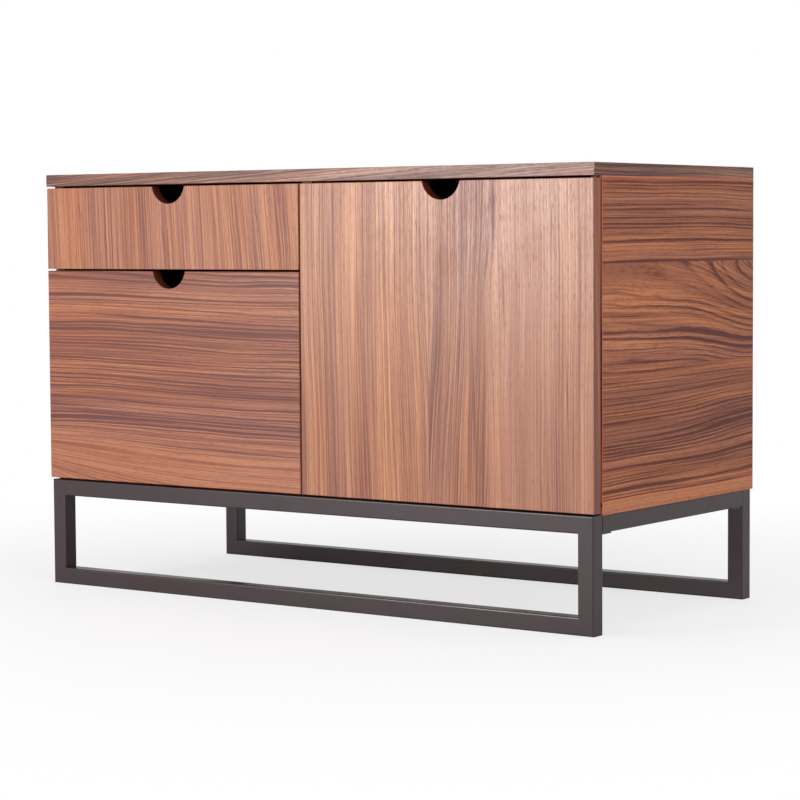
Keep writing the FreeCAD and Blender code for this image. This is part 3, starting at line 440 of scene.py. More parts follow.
def wood_group():
    """Growth lines, bands, streaks and pores: how dark the wood is, 0 to 1, and its pores."""
    t, given = new_group("Wood figure", {
        "Grain": "Vector", "Shift": 0.0, "Seed": 0.0, "Spacing": 0.005, "Lines": 0.4,
        "Band": 0.02, "Bands": 0.5, "Wave": 0.004, "Run": 0.3, "Streaks": 0.3},
        {"Darkness": "Float", "Warmth": "Float", "Pores": "Float", "Relief": "Float"})
    u, v, w = t.parts(given["Grain"])
    seed = t.sum(given["Seed"], t.times(w, 9.0))

    def figure(along, across, drift, detail=2.0, rough=0.5):
        """Noise by a count of waves along and across the grain, with its own start."""
        return t.noise(t.vector(along, across, t.sum(seed, drift)), detail, rough)

    turns = t.per(u, given["Run"])
    wide = figure(turns, t.times(v, 9.0), 1.7, 1.0)
    close = figure(t.times(turns, 3.3), t.times(v, 34.0), 5.3)
    curl = figure(t.times(u, 16.0), t.times(v, 50.0), 2.2)
    wander = t.sum(t.times(t.sum(t.times(wide, 3.0), t.times(close, 0.9)), given["Wave"]),
                   t.times(curl, 0.0010))
    line = t.sum(v, given["Shift"], wander)
    bands = figure(t.times(u, 1.2), t.per(line, given["Band"]), 2.9)
    bands = t.times(bands, 2.4, given["Bands"])

    # Each growth line starts softly, ends sharply and has its own depth.
    count = t.per(line, given["Spacing"])
    jitter = figure(t.times(u, 0.8), t.times(count, 0.27), 8.1, 1.0)
    count = t.sum(count, t.times(jitter, 4.4))
    ring = t.math("FRACT", count)
    depth = t.add("ShaderNodeTexWhiteNoise", {"W": t.sum(t.math("FLOOR", count), seed)},
                  noise_dimensions="1D").outputs[0]
    start = t.less(0.66, t.times(depth, 0.50))
    late = t.times(t.ramp(ring, start, 0.84), t.fall(ring, 0.86, 1.0))
    patch = figure(t.times(u, 1.8), t.times(count, 0.33), 4.4, 3.0, 0.60)
    growth = t.times(late, t.sum(0.25, t.times(depth, 0.8)),
                     t.most(t.sum(0.8, t.times(patch, 3.4)), 0.0), given["Lines"])

    # Streaks and pores are many times finer across the grain than along it.
    fine = t.sum(line, t.times(v, 0.35))
    strand = figure(t.times(u, 1.5), t.times(fine, 170.0), 6.6, 3.0, 0.62)
    thread = figure(t.times(u, 4.5), t.times(fine, 600.0), 9.2, 2.0, 0.60)
    streaks = t.times(t.sum(t.times(strand, 1.2), t.times(thread, 2.3)), given["Streaks"])
    pores = t.ramp(figure(t.times(u, 75.0), t.times(fine, 640.0), 7.7, 1.0), 0.0, 0.22)

    darkness = t.sum(0.40, t.times(bands, 0.75), growth, streaks)
    warmth = t.ramp(figure(t.times(u, 1.3), t.times(line, 21.0), 3.8, 1.0), -0.18, 0.18)
    return close_group(t, Darkness=t.most(t.math("MINIMUM", darkness, 1.0), 0.0), Warmth=warmth,
                       Pores=pores, Relief=t.less(t.times(growth, -0.25), pores))


def colour_group():
    """Light, middle and dark wood by darkness, pinker or more orange by warmth."""
    t, given = new_group("Wood colour", {"Darkness": 0.5, "Warmth": 0.5, "Pores": 0.0,
                                         "Light": "Color", "Middle": "Color", "Dark": "Color"},
                         {"Color": "Color", "Roughness": "Float"})
    lower = t.blend(t.ramp(given["Darkness"], 0.0, 0.5), given["Light"], given["Middle"])
    both = t.blend(t.ramp(given["Darkness"], 0.42, 1.0), lower, given["Dark"])
    tint = t.blend(given["Warmth"], (0.97, 1.0, 1.10, 1.0), (1.04, 1.0, 0.88, 1.0))
    tinted = t.blend(1.0, both, tint, "MULTIPLY")
    return close_group(t, Color=t.blend(t.times(given["Pores"], 0.34), tinted, given["Dark"]),
                       Roughness=t.sum(0.33, t.times(given["Darkness"], 0.10),
                                       t.times(given["Pores"], 0.09)))


def wear_group():
    """Faint handling marks: how much gloss they take, and a fine unevenness."""
    t, given = new_group("Handling marks", {"Place": "Vector", "Size": 14.0},
                         {"Marks": "Float", "Grit": "Float"})
    broad = t.noise(t.scaled(given["Place"], given["Size"]), 3.0, 0.6)
    return close_group(t, Marks=t.ramp(broad, -0.1, 0.22),
                       Grit=t.noise(t.scaled(given["Place"], 900.0)))


MADE = {}


def use(t, maker, **values):
    """Place a shader node group in a material, with its inputs by name."""
    if maker not in MADE:
        MADE[maker] = maker()
    node = t.add("ShaderNodeGroup", node_tree=MADE[maker])
    for name, value in values.items():
        t.feed(node.inputs[name.replace("_", " ")], value)
    return node.outputs


def new_material(name):
    """An empty material: itself, its Tree, its shader, its output and its coordinates."""
    made = bpy.data.materials.new(name)
    made.use_nodes = True
    made.node_tree.nodes.clear()
    t = Tree(made.node_tree)
    shader = t.add("ShaderNodeBsdfPrincipled")
    output = t.add("ShaderNodeOutputMaterial", {"Surface": shader.outputs[0]})
    coordinates = t.add("ShaderNodeTexCoord").outputs
    return made, t, shader, output, coordinates["Object"], coordinates["Normal"]


def bump(t, height, strength, distance, shader):
    """Give a shader relief."""
    node = t.add("ShaderNodeBump", {"Height": height, "Strength": strength, "Distance": distance})
    t.feed(shader.inputs["Normal"], node.outputs[0])


# ---- wood ----
# A figure says how one board's veneer is laid and marked: how far its growth lines shift, the
# leaf's seed, and how much darker (shade), plainer (calm) and more orange (warm) the wood is. On
# the door and the top, shade, calm and warm also carry painted shade and sheen.
# Places are along and across the grain. A mark is a row of its place along and across, its half
# length, half width and slope. A stripe is a row of its middle, its width and its shade.
DOOR_JOINTS = {"Joint_1": 0.138, "Joint_2": 0.228, "Joint_3": 0.327}
DOOR_MARKS = (
    (0.585, 0.3365, 0.085, 0.0075, -0.03), (0.505, 0.3265, 0.070, 0.0034, 0.14),
    (0.455, 0.3545, 0.110, 0.0032, -0.03), (0.300, 0.3050, 0.150, 0.0034, -0.025),
    (0.370, 0.2790, 0.150, 0.0034, 0.04), (0.330, 0.4570, 0.150, 0.0022, -0.03),
    (0.560, 0.4330, 0.050, 0.0020, 0.0),
)
DOOR_STRIPES = ((0.003, 0.010, 0.10), (0.232, 0.008, -0.20), (0.313, 0.005, 0.12),
                (0.441, 0.009, 0.10))
UPPER_MARKS = (
    (0.580, -0.429, 0.040, 0.0024, -0.24), (0.560, -0.158, 0.060, 0.0028, -0.17),
    (0.575, -0.079, 0.048, 0.0026, -0.26), (0.540, -0.259, 0.045, 0.0022, -0.30),
    (0.555, -0.222, 0.055, 0.0016, -0.07),
)
LOWER_MARKS = (
    (-0.410, 0.259, 0.055, 0.0030, -0.02), (-0.255, 0.213, 0.016, 0.0016, -0.02),
    (-0.250, 0.247, 0.120, 0.0026, -0.04),
)
SIDE_JOINTS = {"Joint_1": SIDE_FOOT + 0.0002, "Joint_2": 0.360, "Joint_3": 0.504}
SIDE_MARKS = (
    (-0.090, 0.418, 0.150, 0.0034, -0.06), (-0.165, 0.455, 0.030, 0.0016, 0.03),
    (-0.060, 0.458, 0.030, 0.0014, -0.02), (-0.120, 0.372, 0.080, 0.0030, 0.02),
)
PLAIN = {"shift": 0.0, "seed": 0.0, "shade": 0.0, "calm": 0.0, "warm": 0.0}
# Red-orange of the painted glow in the side panels' joints, as if light reflected between walnut
# faces.
JOINT_GLOW_COLOUR = (0.66, 0.13, 0.05, 1.0)
# A dark red-brown given to the walls of the finger notches.
NOTCH_DARK_COLOUR = (0.10, 0.022, 0.012, 1.0)


def flecks(t, grain, rows):
    """Dark marks."""
    return t.sum(*[use(t, fleck_group, Grain=grain, Along=along, Across=across, Length=long,
                       Width=wide, Slope=slope)[0] for along, across, long, wide, slope in rows])


def leaves(t, grain, **joints):
    """The number of a place's leaf, a mask of the joints, and a function that masks one leaf."""
    number, joint = use(t, leaves_group, Grain=grain, **joints)
    return number, joint, lambda leaf: t.math("COMPARE", number, leaf, 0.5)


def looks(t, facing, axis):
    """1 on the faces that look along an axis, 0 on the others."""
    return t.over(t.size(t.parts(facing)[axis]), 0.75)


def door_figure(t, grain, facing):
    """Four upright leaves, the first three leaning at their foot, the last with a slim eye."""
    number, joint, leaf = leaves(t, grain, **DOOR_JOINTS)
    first, second, third, fourth = [leaf(n) for n in range(4)]
    eye = use(t, eye_group, Grain=grain, Along=0.462, Across=0.343, Length=0.085, Width=0.010,
              Push=0.0090)[0]
    u, v, _ = t.parts(grain)
    slope = t.sum(t.times(third, -0.045), t.times(t.sum(first, second), 0.032))
    lean = t.times(t.less(u, 0.50), t.fall(u, 0.26, 0.54), slope)
    stripes = [t.times(t.bell(v, middle, width), shade) for middle, width, shade in DOOR_STRIPES]
    shade = t.sum(t.times(joint, 0.10), t.times(flecks(t, grain, DOOR_MARKS), 0.40), *stripes,
                  t.times(t.bell(v, 0.336, 0.012), t.fall(u, 0.48, 0.56), -0.19),
                  t.times(t.bell(v, 0.292, 0.004), third, -0.16),
                  # Painted shade: the door is darker towards its foot, as if its upper part
                  # catches a sheen.
                  t.times(t.fall(u, 0.16, 0.48), 0.11),
                  # Painted sheen: the last leaf's slight lightening below.
                  t.times(second, -0.05), t.times(third, 0.19), t.times(fourth, -0.03))
    return {"shift": t.sum(eye, lean), "seed": t.times(number, 13.7), "shade": shade,
            # Painted sheen: the last leaf plainer and pinker and the first more orange, as if a
            # reflected haze lay over the door's right.
            "calm": t.times(fourth, 0.28),
            "warm": t.less(t.times(first, 0.35), t.times(fourth, 0.60))}


def upper_figure(t, grain, facing):
    """Two upright leaves whose lines lean to the right on their way down."""
    number, joint, _ = leaves(t, grain, Joint_1=-0.262)
    lean = t.times(t.less(t.parts(grain)[0], 0.56), t.sum(0.05, t.times(number, 0.04)))
    marks = flecks(t, grain, UPPER_MARKS)
    return {"shift": lean, "seed": t.times(number, 11.3),
            "shade": t.sum(t.times(joint, 0.05), t.times(marks, 0.30))}


def lower_figure(t, grain, facing):
    """One lying leaf whose lines sink to the right, paling to orange wood along its foot."""
    u, v, _ = t.parts(grain)
    drop = t.times(t.ramp(u, -0.44, -0.08), 0.011)
    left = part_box("lower_drawer_front")[0].x
    corner = t.math("EXPONENT", t.times(t.less(u, left), -10.0))
    shift = t.sum(drop, t.times(corner, t.fall(v, 0.16, 0.26), -0.040))
    pale = t.fall(t.sum(v, shift), 0.214, 0.250)
    marks = flecks(t, grain, LOWER_MARKS)
    return {"shift": shift, "shade": t.sum(t.times(pale, -0.26), t.times(marks, 0.30)),
            "calm": t.times(pale, 0.25)}


def side_figure(t, grain, facing):
    """Three lying leaves on the side, the middle one with a crown, over a pale bottom edge."""
    outer = looks(t, facing, 0)
    number, joint, leaf = leaves(t, grain, **SIDE_JOINTS)
    in_edge, in_low, in_crown = [t.times(leaf(n), outer) for n in range(3)]
    u, v, _ = t.parts(grain)
    crown = use(t, crown_group, Grain=grain, Along=0.25, Across=0.510, Reach=0.165,
                Height=0.087, Spread=0.62)[0]
    rise = t.times(t.ramp(u, -0.08, 0.34), -0.020, t.bell(v, 0.280, 0.055))
    pale = t.times(t.bell(v, 0.458, 0.020), t.fall(u, -0.12, 0.10), -0.16)
    dark = t.times(t.bell(v, 0.497, 0.018), t.fall(u, -0.08, 0.08), 0.20)
    shade = t.sum(t.times(in_edge, -0.28), t.times(joint, 0.06), t.times(in_low, 0.05),
                  t.times(flecks(t, grain, SIDE_MARKS), 0.34, outer),
                  t.times(t.sum(pale, dark), in_crown), t.times(t.less(1.0, outer), 0.14),
                  t.times(t.bell(v, 0.186, 0.020), outer, -0.09))
    flat = t.times(in_crown, t.fall(u, -0.14, 0.02), t.ramp(v, 0.462, 0.492))
    return {"shift": t.sum(t.times(crown, in_crown), t.times(rise, in_low)),
            "seed": t.times(number, 17.1), "shade": shade,
            "calm": t.sum(t.times(in_edge, 0.65), t.times(flat, 0.75))}


def grain_and_sheen_figure(t, grain, facing):
    """One leaf, rising lines on its long edges, and painted sheen paling it to the right."""
    u = t.parts(grain)[0]
    on_edge = looks(t, facing, 1)
    # Painted sheen: darker at the left end, and paler, plainer and pinker towards the right end.
    return {"shift": t.times(u, on_edge, -0.08), "shade": t.sum(0.08, t.times(u, -0.25)),
            "calm": t.times(on_edge, t.ramp(u, -0.10, 0.45), 0.55), "warm": t.times(u, -0.55)}


def plain_figure(t, grain, facing):
    """One leaf."""
    return {}


def painted_joint_glow(t, place, facing):
    """Painted glow: a red-orange line where a side panel's outside meets its neighbours."""
    x, y, z = t.parts(place)
    outer = t.times(looks(t, facing, 0), t.over(t.size(x), CAD_BOX[1][0] - 0.01))
    lines = t.most(t.near(z, SIDE_HEAD, 0.0011), t.near(z, SIDE_FOOT, 0.0005))
    return t.times(t.most(t.near(y, SIDE_FRONT, 0.0015), lines), outer)


def notch_wall(t, place, front):
    """The darkened wall of a front's finger notch."""
    low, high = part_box(front)
    x, _, z = t.parts(place)
    away = t.distance(t.less(x, (low.x + high.x) / 2), t.less(z, high.z + NOTCH_RISE))
    return t.near(away, 0.0, NOTCH_RADIUS + 0.00015)


def wood(name, key, seed, figure=plain_figure, upright_x=0.0, upright_y=0.0, lined=False,
         notched=None, edges=0.0, gloss=0.40, polish=0.0):
    """A wood material from one veneer's settings.

    Edges darkens the faces that look along X; polish makes the wood less rough. A lined one has
    the painted red-orange glow along the side panels' joints and lying grain on the bottom
    panel's edge. A notched one is given by the front that has the notch.
    """
    made, t, shader, _, place, facing = new_material(name)
    chosen = getattr(settings(), key)
    if lined:
        upright_y = t.over(t.parts(place)[2], SIDE_FOOT)
    grain = use(t, grain_group, Place=place, Facing=facing, Upright_X=upright_x,
                Upright_Y=upright_y)[0]
    told = {**PLAIN, **figure(t, grain, facing)}
    growth = {word.capitalize(): getattr(chosen, word) for word in GROWTH}
    tones = {word.capitalize(): opaque(getattr(chosen, word)) for word in TONES}
    figured = use(t, wood_group, Grain=grain, Shift=told["shift"],
                  Seed=t.sum(told["seed"], seed), **growth)
    darkness = t.sum(t.mix(told["calm"], figured["Darkness"], 0.34), told["shade"],
                     t.times(looks(t, facing, 0), edges))
    toned = use(t, colour_group, Darkness=darkness, Pores=figured["Pores"],
                Warmth=t.sum(figured["Warmth"], told["warm"]), **tones)
    base = toned["Color"]
    if lined:
        # Painted glow: red-orange lines along the side panels' joints.
        base = t.blend(t.times(painted_joint_glow(t, place, facing), 0.85), base, JOINT_GLOW_COLOUR)
    if notched:
        # Darken the notch wall to a dark red-brown.
        base = t.blend(notch_wall(t, place, notched), base, NOTCH_DARK_COLOUR)
    marks = use(t, wear_group, Place=place)["Marks"]
    t.feed(shader.inputs["Base Color"], base)
    t.feed(shader.inputs["Roughness"], t.sum(toned["Roughness"], t.times(marks, 0.05), -polish))
    shader.inputs["Specular IOR Level"].default_value = gloss
    bump(t, figured["Relief"], 0.20, 0.00012, shader)
    return made


# ---- metal and plastic ----
def coat(name, base, rough, metallic, peel, brushed=None):
    """A coated or plated metal; brushed is the direction of its fine lines."""
    made, t, shader, _, place, _ = new_material(name)
    marks, relief = use(t, wear_group, Place=place)
    tone = t.blend(t.times(marks, 0.16), opaque(base), opaque(base, 0.80))
    if brushed:
        stretched = t.add("ShaderNodeVectorMath", {0: place, 1: brushed}, operation="MULTIPLY")
        lines = t.noise(stretched.outputs[0])
        tone = t.blend(t.ramp(lines, -0.3, 0.3), tone, opaque(base, 1.12))
        relief = t.sum(t.times(relief, 0.3), lines)
    t.feed(shader.inputs["Base Color"], tone)
    t.feed(shader.inputs["Roughness"], t.sum(rough, t.times(marks, 0.07)))
    shader.inputs["Metallic"].default_value = metallic
    shader.inputs["Specular IOR Level"].default_value = 0.50
    bump(t, relief, peel, 0.00010, shader)
    return made


def finish_materials():
    """Every finish, by the record's slot."""
    metal = settings().metal
    along_y = (900.0, 8.0, 900.0)
    return {
        "walnut_door": wood("Upright walnut veneer, door", "door", 4.2, door_figure, 1.0, 1.0,
                            notched="door", edges=0.46, gloss=0.37, polish=0.09),
        "walnut_upper_front": wood("Upright walnut veneer, drawer", "upper", 23.0, upper_figure,
                                   1.0, 1.0, notched="upper_drawer_front", edges=0.25),
        "walnut_lower_front": wood("Lying walnut veneer, drawer", "lower", 37.0, lower_figure,
                                   1.0, 0.0, notched="lower_drawer_front", edges=0.15),
        "walnut_carcass": wood("Lying walnut veneer, sides", "side", 51.0, side_figure, 0.0, 1.0,
                               lined=True, gloss=0.20),
        "walnut_top": wood("Walnut veneer, top", "top", 66.0, grain_and_sheen_figure, edges=-0.04,
                           gloss=0.50),
        "walnut_inner": wood("Walnut veneer, inside", "inner", 78.0, upright_y=1.0),
        "back_board": wood("Walnut veneer, back panel", "back", 85.0, upright_y=1.0),
        "drawer_wood": wood("Lacquered birch", "birch", 91.0),
        "beech": wood("Plain beech", "birch", 97.0),
        "bronze_frame": coat("Bronze powder coat", metal.bronze, 0.30, 0.0, metal.peel),
        "black_screws": coat("Black oxide", metal.black, 0.38, 0.6, 0.1),
        "nickel_steel": coat("Nickel plate", metal.nickel, 0.22, 1.0, 0.06),
        "zinc_steel": coat("Bright zinc plate", metal.zinc, 0.26, 1.0, 0.10, along_y),
        "retainer_plastic": coat("Black nylon", metal.nylon, 0.45, 0.0, 0.3),
        "soft_pad": coat("Soft clear pad", metal.pad, 0.35, 0.0, 0.1),
    }


FINISHES = {}


def finish(slot):
    """The material of one of the record's slots."""
    if not FINISHES:
        FINISHES.update(finish_materials())
    return FINISHES[slot]


def slot_of(node):
    """The record's material slot of a CAD node."""
    for row in frame["record"]["subparts"]:
        if row["node"] == node:
            return row["material_slot"]
    raise KeyError(node)


def dress(nodes):
    """Give CAD nodes the material of their slot."""
    for name in nodes:
        mesh = NODES[name].data
        mesh.materials.clear()
        mesh.materials.append(finish(slot_of(name)))


# ---- meshes ----
FACING_BACK = Matrix.Rotation(math.radians(-90.0), 4, "X")


def link(obj):
    bpy.context.scene.collection.objects.link(obj)
    return obj


def from_bmesh(name, shape, material=None):
    """A smooth-shaded object from a bmesh."""
    bmesh.ops.remove_doubles(shape, verts=shape.verts, dist=1e-7)
    bmesh.ops.recalc_face_normals(shape, faces=shape.faces)
    mesh = bpy.data.meshes.new(name)
    shape.to_mesh(mesh)
    shape.free()
    if material:
        mesh.materials.append(material)
    return link(bpy.data.objects.new(name, mesh))


def bridge(shape, below, above):
    """Close two rings of a bmesh with faces; a ring of one point is a tip."""
    steps = max(len(below), len(above))
    for step in range(steps):
        after = (step + 1) % steps
        corners = [below[step % len(below)], below[after % len(below)],
                   above[after % len(above)], above[step % len(above)]]
        unique = list(dict.fromkeys(corners))
        if len(unique) > 2:
            shape.faces.new(unique)


def lathe(shape, profile, centre=(0.0, 0.0, 0.0), turn=Matrix.Identity(4), steps=24):
    """Add a turned form to a bmesh: profile is a list of radius and height along Z."""
    place = Matrix.Translation(centre) @ turn
    rings = []
    for radius, height in profile:
        ring = []
        for step in range(steps if radius else 1):
            angle = 2 * math.pi * step / steps
            point = Vector((radius * math.cos(angle), radius * math.sin(angle), height))
            ring.append(shape.verts.new(place @ point))
        rings.append(ring)
    for below, above in zip(rings, rings[1:]):
        bridge(shape, below, above)


def turned(name, profile, steps=24):
    """A turned form of unit size, for the node trees to place."""
    shape = bmesh.new()
    lathe(shape, profile, steps=steps)
    return from_bmesh(name, shape)


def recessed(name, profile, deep):
    """A turned head of unit radius, its top at the origin, with a cross recess."""
    long, thin, taper = 0.62, 0.15, 0.62
    body = turned("turned " + name, profile)
    shape = bmesh.new()
    for across, along in ((long, thin), (thin, long)):
        for vert in bmesh.ops.create_cube(shape, size=2.0)["verts"]:
            bottom = vert.co.z < 0
            slim = taper if bottom else 1.0
            vert.co = Vector((vert.co.x * across * slim, vert.co.y * along * slim,
                              -deep if bottom else 0.2))
    cross = from_bmesh("cross", shape)
    cutter = body.modifiers.new("Recess", "BOOLEAN")
    cutter.object = cross
    cutter.operation = "DIFFERENCE"
    cutter.solver = "EXACT"
    cutter.use_self = True
    bpy.context.view_layer.update()
    mesh = plain_copy(body, name)
    remove(body, cross)
    return link(bpy.data.objects.new(name, mesh))


def plain_copy(source, name):
    """The evaluated mesh of an object as a new plain mesh."""
    graph = bpy.context.evaluated_depsgraph_get()
    mesh = bpy.data.meshes.new_from_object(source.evaluated_get(graph), depsgraph=graph)
    mesh.name = name
    return mesh


def remove(*objects):
    for obj in objects:
        bpy.data.objects.remove(obj)


def islands(node):
    """The separate solids of a CAD node, each as a list of points."""
    shape = bmesh.new()
    shape.from_mesh(NODES[node].data)
    bmesh.ops.remove_doubles(shape, verts=shape.verts, dist=2e-6)
    found = []
    left = set(shape.verts)
    while left:
        reached = [left.pop()]
        for vert in reached:
            for edge in vert.link_edges:
                other = edge.other_vert(vert)
                if other in left:
                    left.remove(other)
                    reached.append(other)
        found.append([vert.co.copy() for vert in reached])
    shape.free()
    return sorted(found, key=lambda points: tuple(round(c, 4) for c in min(points, key=tuple)))


def reach(points):
    """Lowest and highest corner of some points, and the middle between them."""
    low = Vector([min(p[i] for p in points) for i in range(3)])
    high = Vector([max(p[i] for p in points) for i in range(3)])
    return low, high, (low + high) / 2


def fastener(points):
    """Head centre, direction out of the head, head radius, head height, shank radius, length."""
    low, high, centre = reach(points)
    axis = max(range(3), key=lambda i: high[i] - low[i])
    sides = [i for i in range(3) if i != axis]

    def widest(level):
        """Widest distance from the axis at one level."""
        return max(math.hypot(*(p[i] - centre[i] for i in sides))
                   for p in points if abs(p[axis] - level) < 2e-5)

    tip, top = sorted((low[axis], high[axis]), key=widest)
    levels = sorted({round(p[axis], 6) for p in points}, key=lambda level: abs(level - top))
    facing = Vector()
    facing[axis] = math.copysign(1.0, top - tip)
    shank = widest(tip)
    head = widest(top)
    centre[axis] = top
    return centre, facing, head, abs(levels[1] - top), shank, abs(top - tip)


def seat(piece, body, slot, *nodes):
    """Let a piece ride on its body, for the nodes that it stands for; its slot is not used."""
    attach(piece, body)
    if nodes:
        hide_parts(*nodes)


def body_of_node(node):
    """Name of the body that a CAD node rides on."""
    return body_of(NODES[node])[0]


# ---- repeated small pieces ----
def new_grower(name, inputs):
    """A geometry node tree that starts from a mesh; returns its Tree and its input sockets."""
    return new_group(name, {"Geometry": "Geometry", **inputs, "Material": "Material"},
                     {"Geometry": "Geometry"}, "GeometryNodeTree")


def close_grower(t, geometry, given):
    """End a tree in real geometry with its material."""
    real = t.add("GeometryNodeRealizeInstances", {0: geometry}).outputs[0]
    return close_group(t, Geometry=t.add("GeometryNodeSetMaterial", {
        "Geometry": real, "Material": given["Material"]}).outputs[0])


def rows_of_points(t, given, pitch):
    """The start mesh's edges as curves, with a point at each pitch."""
    rows = t.add("GeometryNodeMeshToCurve", {0: given["Geometry"]}).outputs[0]
    return t.add("GeometryNodeResampleCurve", {"Curve": rows, "Length": pitch},
                 mode="LENGTH").outputs[0]


def smooth(t, geometry):
    return t.add("GeometryNodeSetShadeSmooth", {0: geometry}).outputs[0]


def screws_tree():
    """Puts a head and a shank at each point, turned to face and sized by its attributes."""
    t, given = new_grower("Screws in place", {"Head": "Object", "Shank": "Object"})

    def attribute(name):
        return t.add("GeometryNodeInputNamedAttribute", {"Name": name},
                     data_type="FLOAT_VECTOR").outputs[0]

    turn = t.add("FunctionNodeAlignRotationToVector", {"Vector": attribute("facing")},
                 axis="Z").outputs[0]
    joined = t.add("GeometryNodeJoinGeometry")
    for form, size in (("Head", "head_size"), ("Shank", "shank_size")):
        source = t.add("GeometryNodeObjectInfo", {"Object": given[form]}).outputs["Geometry"]
        placed = t.add("GeometryNodeInstanceOnPoints", {
            "Points": given["Geometry"], "Instance": source, "Rotation": turn,
            "Scale": attribute(size)})
        t.feed(joined.inputs[0], placed.outputs[0])
    return close_grower(t, joined.outputs[0], given)


def balls_tree():
    """Rows of balls at a pitch along the start mesh's edges."""
    t, given = new_grower("Ball rows", {"Pitch": "Float", "Radius": "Float"})
    points = t.add("GeometryNodeCurveToPoints", {0: rows_of_points(t, given, given["Pitch"])},
                   mode="EVALUATED").outputs[0]
    ball = t.add("GeometryNodeMeshUVSphere", {"Segments": 10, "Rings": 6,
                                              "Radius": given["Radius"]}).outputs[0]
    placed = t.add("GeometryNodeInstanceOnPoints", {"Points": points,
                                                    "Instance": smooth(t, ball)})
    return close_grower(t, placed.outputs[0], given)


def beads_tree():
    """Uneven weld beads along the start mesh's edges."""
    t, given = new_grower("Weld beads", {"Radius": "Float", "Ripple": "Float", "Seed": "Int"})
    profile = t.add("GeometryNodeCurvePrimitiveCircle", {"Resolution": 10,
                                                         "Radius": given["Radius"]}).outputs[0]
    bead = t.add("GeometryNodeCurveToMesh", {
        "Curve": rows_of_points(t, given, 0.0006), "Profile Curve": profile,
        "Fill Caps": True}).outputs[0]
    texture = t.add("ShaderNodeTexNoise", {
        "Vector": t.add("GeometryNodeInputPosition").outputs[0], "W": given["Seed"],
        "Scale": 420.0, "Detail": 1.0}, noise_dimensions="4D").outputs[0]
    push = t.times(t.less(texture, 0.5), given["Ripple"], 2.0)
    offset = t.scaled(t.add("GeometryNodeInputNormal").outputs[0], push)
    moved = t.add("GeometryNodeSetPosition", {"Geometry": bead, "Offset": offset}).outputs[0]
    return close_grower(t, smooth(t, moved), given)


def grown(name, mesh, maker, values):
    """What a geometry node tree makes of a start mesh, as a plain object."""
    if maker not in MADE:
        MADE[maker] = maker()
    carrier = link(bpy.data.objects.new(name, mesh))
    modifier = carrier.modifiers.new("Grow", "NODES")
    modifier.node_group = MADE[maker]
    for item in MADE[maker].interface.items_tree:
        if item.in_out == "INPUT" and item.name in values:
            modifier[item.identifier] = values[item.name]
    bpy.context.view_layer.update()
    result = plain_copy(carrier, name)
    carrier.modifiers.clear()
    carrier.data = result
    bpy.data.meshes.remove(mesh)
    return carrier


def edges_mesh(name, ends):
    """A start mesh of loose edges, each from a pair of ends."""
    mesh = bpy.data.meshes.new(name)
    mesh.from_pydata([point for pair in ends for point in pair],
                     [(2 * i, 2 * i + 1) for i in range(len(ends))], [])
    return mesh


def fastened(node, rows, head, shank):
    """Heads and shanks in place of a node: each row is place, facing, head and shank size."""
    mesh = bpy.data.meshes.new(node)
    mesh.from_pydata([tuple(row[0]) for row in rows], [], [])
    for column, label in enumerate(("facing", "head_size", "shank_size"), 1):
        attribute = mesh.attributes.new(label, "FLOAT_VECTOR", "POINT")
        attribute.data.foreach_set("vector", [c for row in rows for c in row[column]])
    slot = slot_of(node)
    made = grown(node + "_detailed", mesh, screws_tree,
                 {"Head": head, "Shank": shank, "Material": finish(slot)})
    seat(made, body_of_node(node), slot, node)


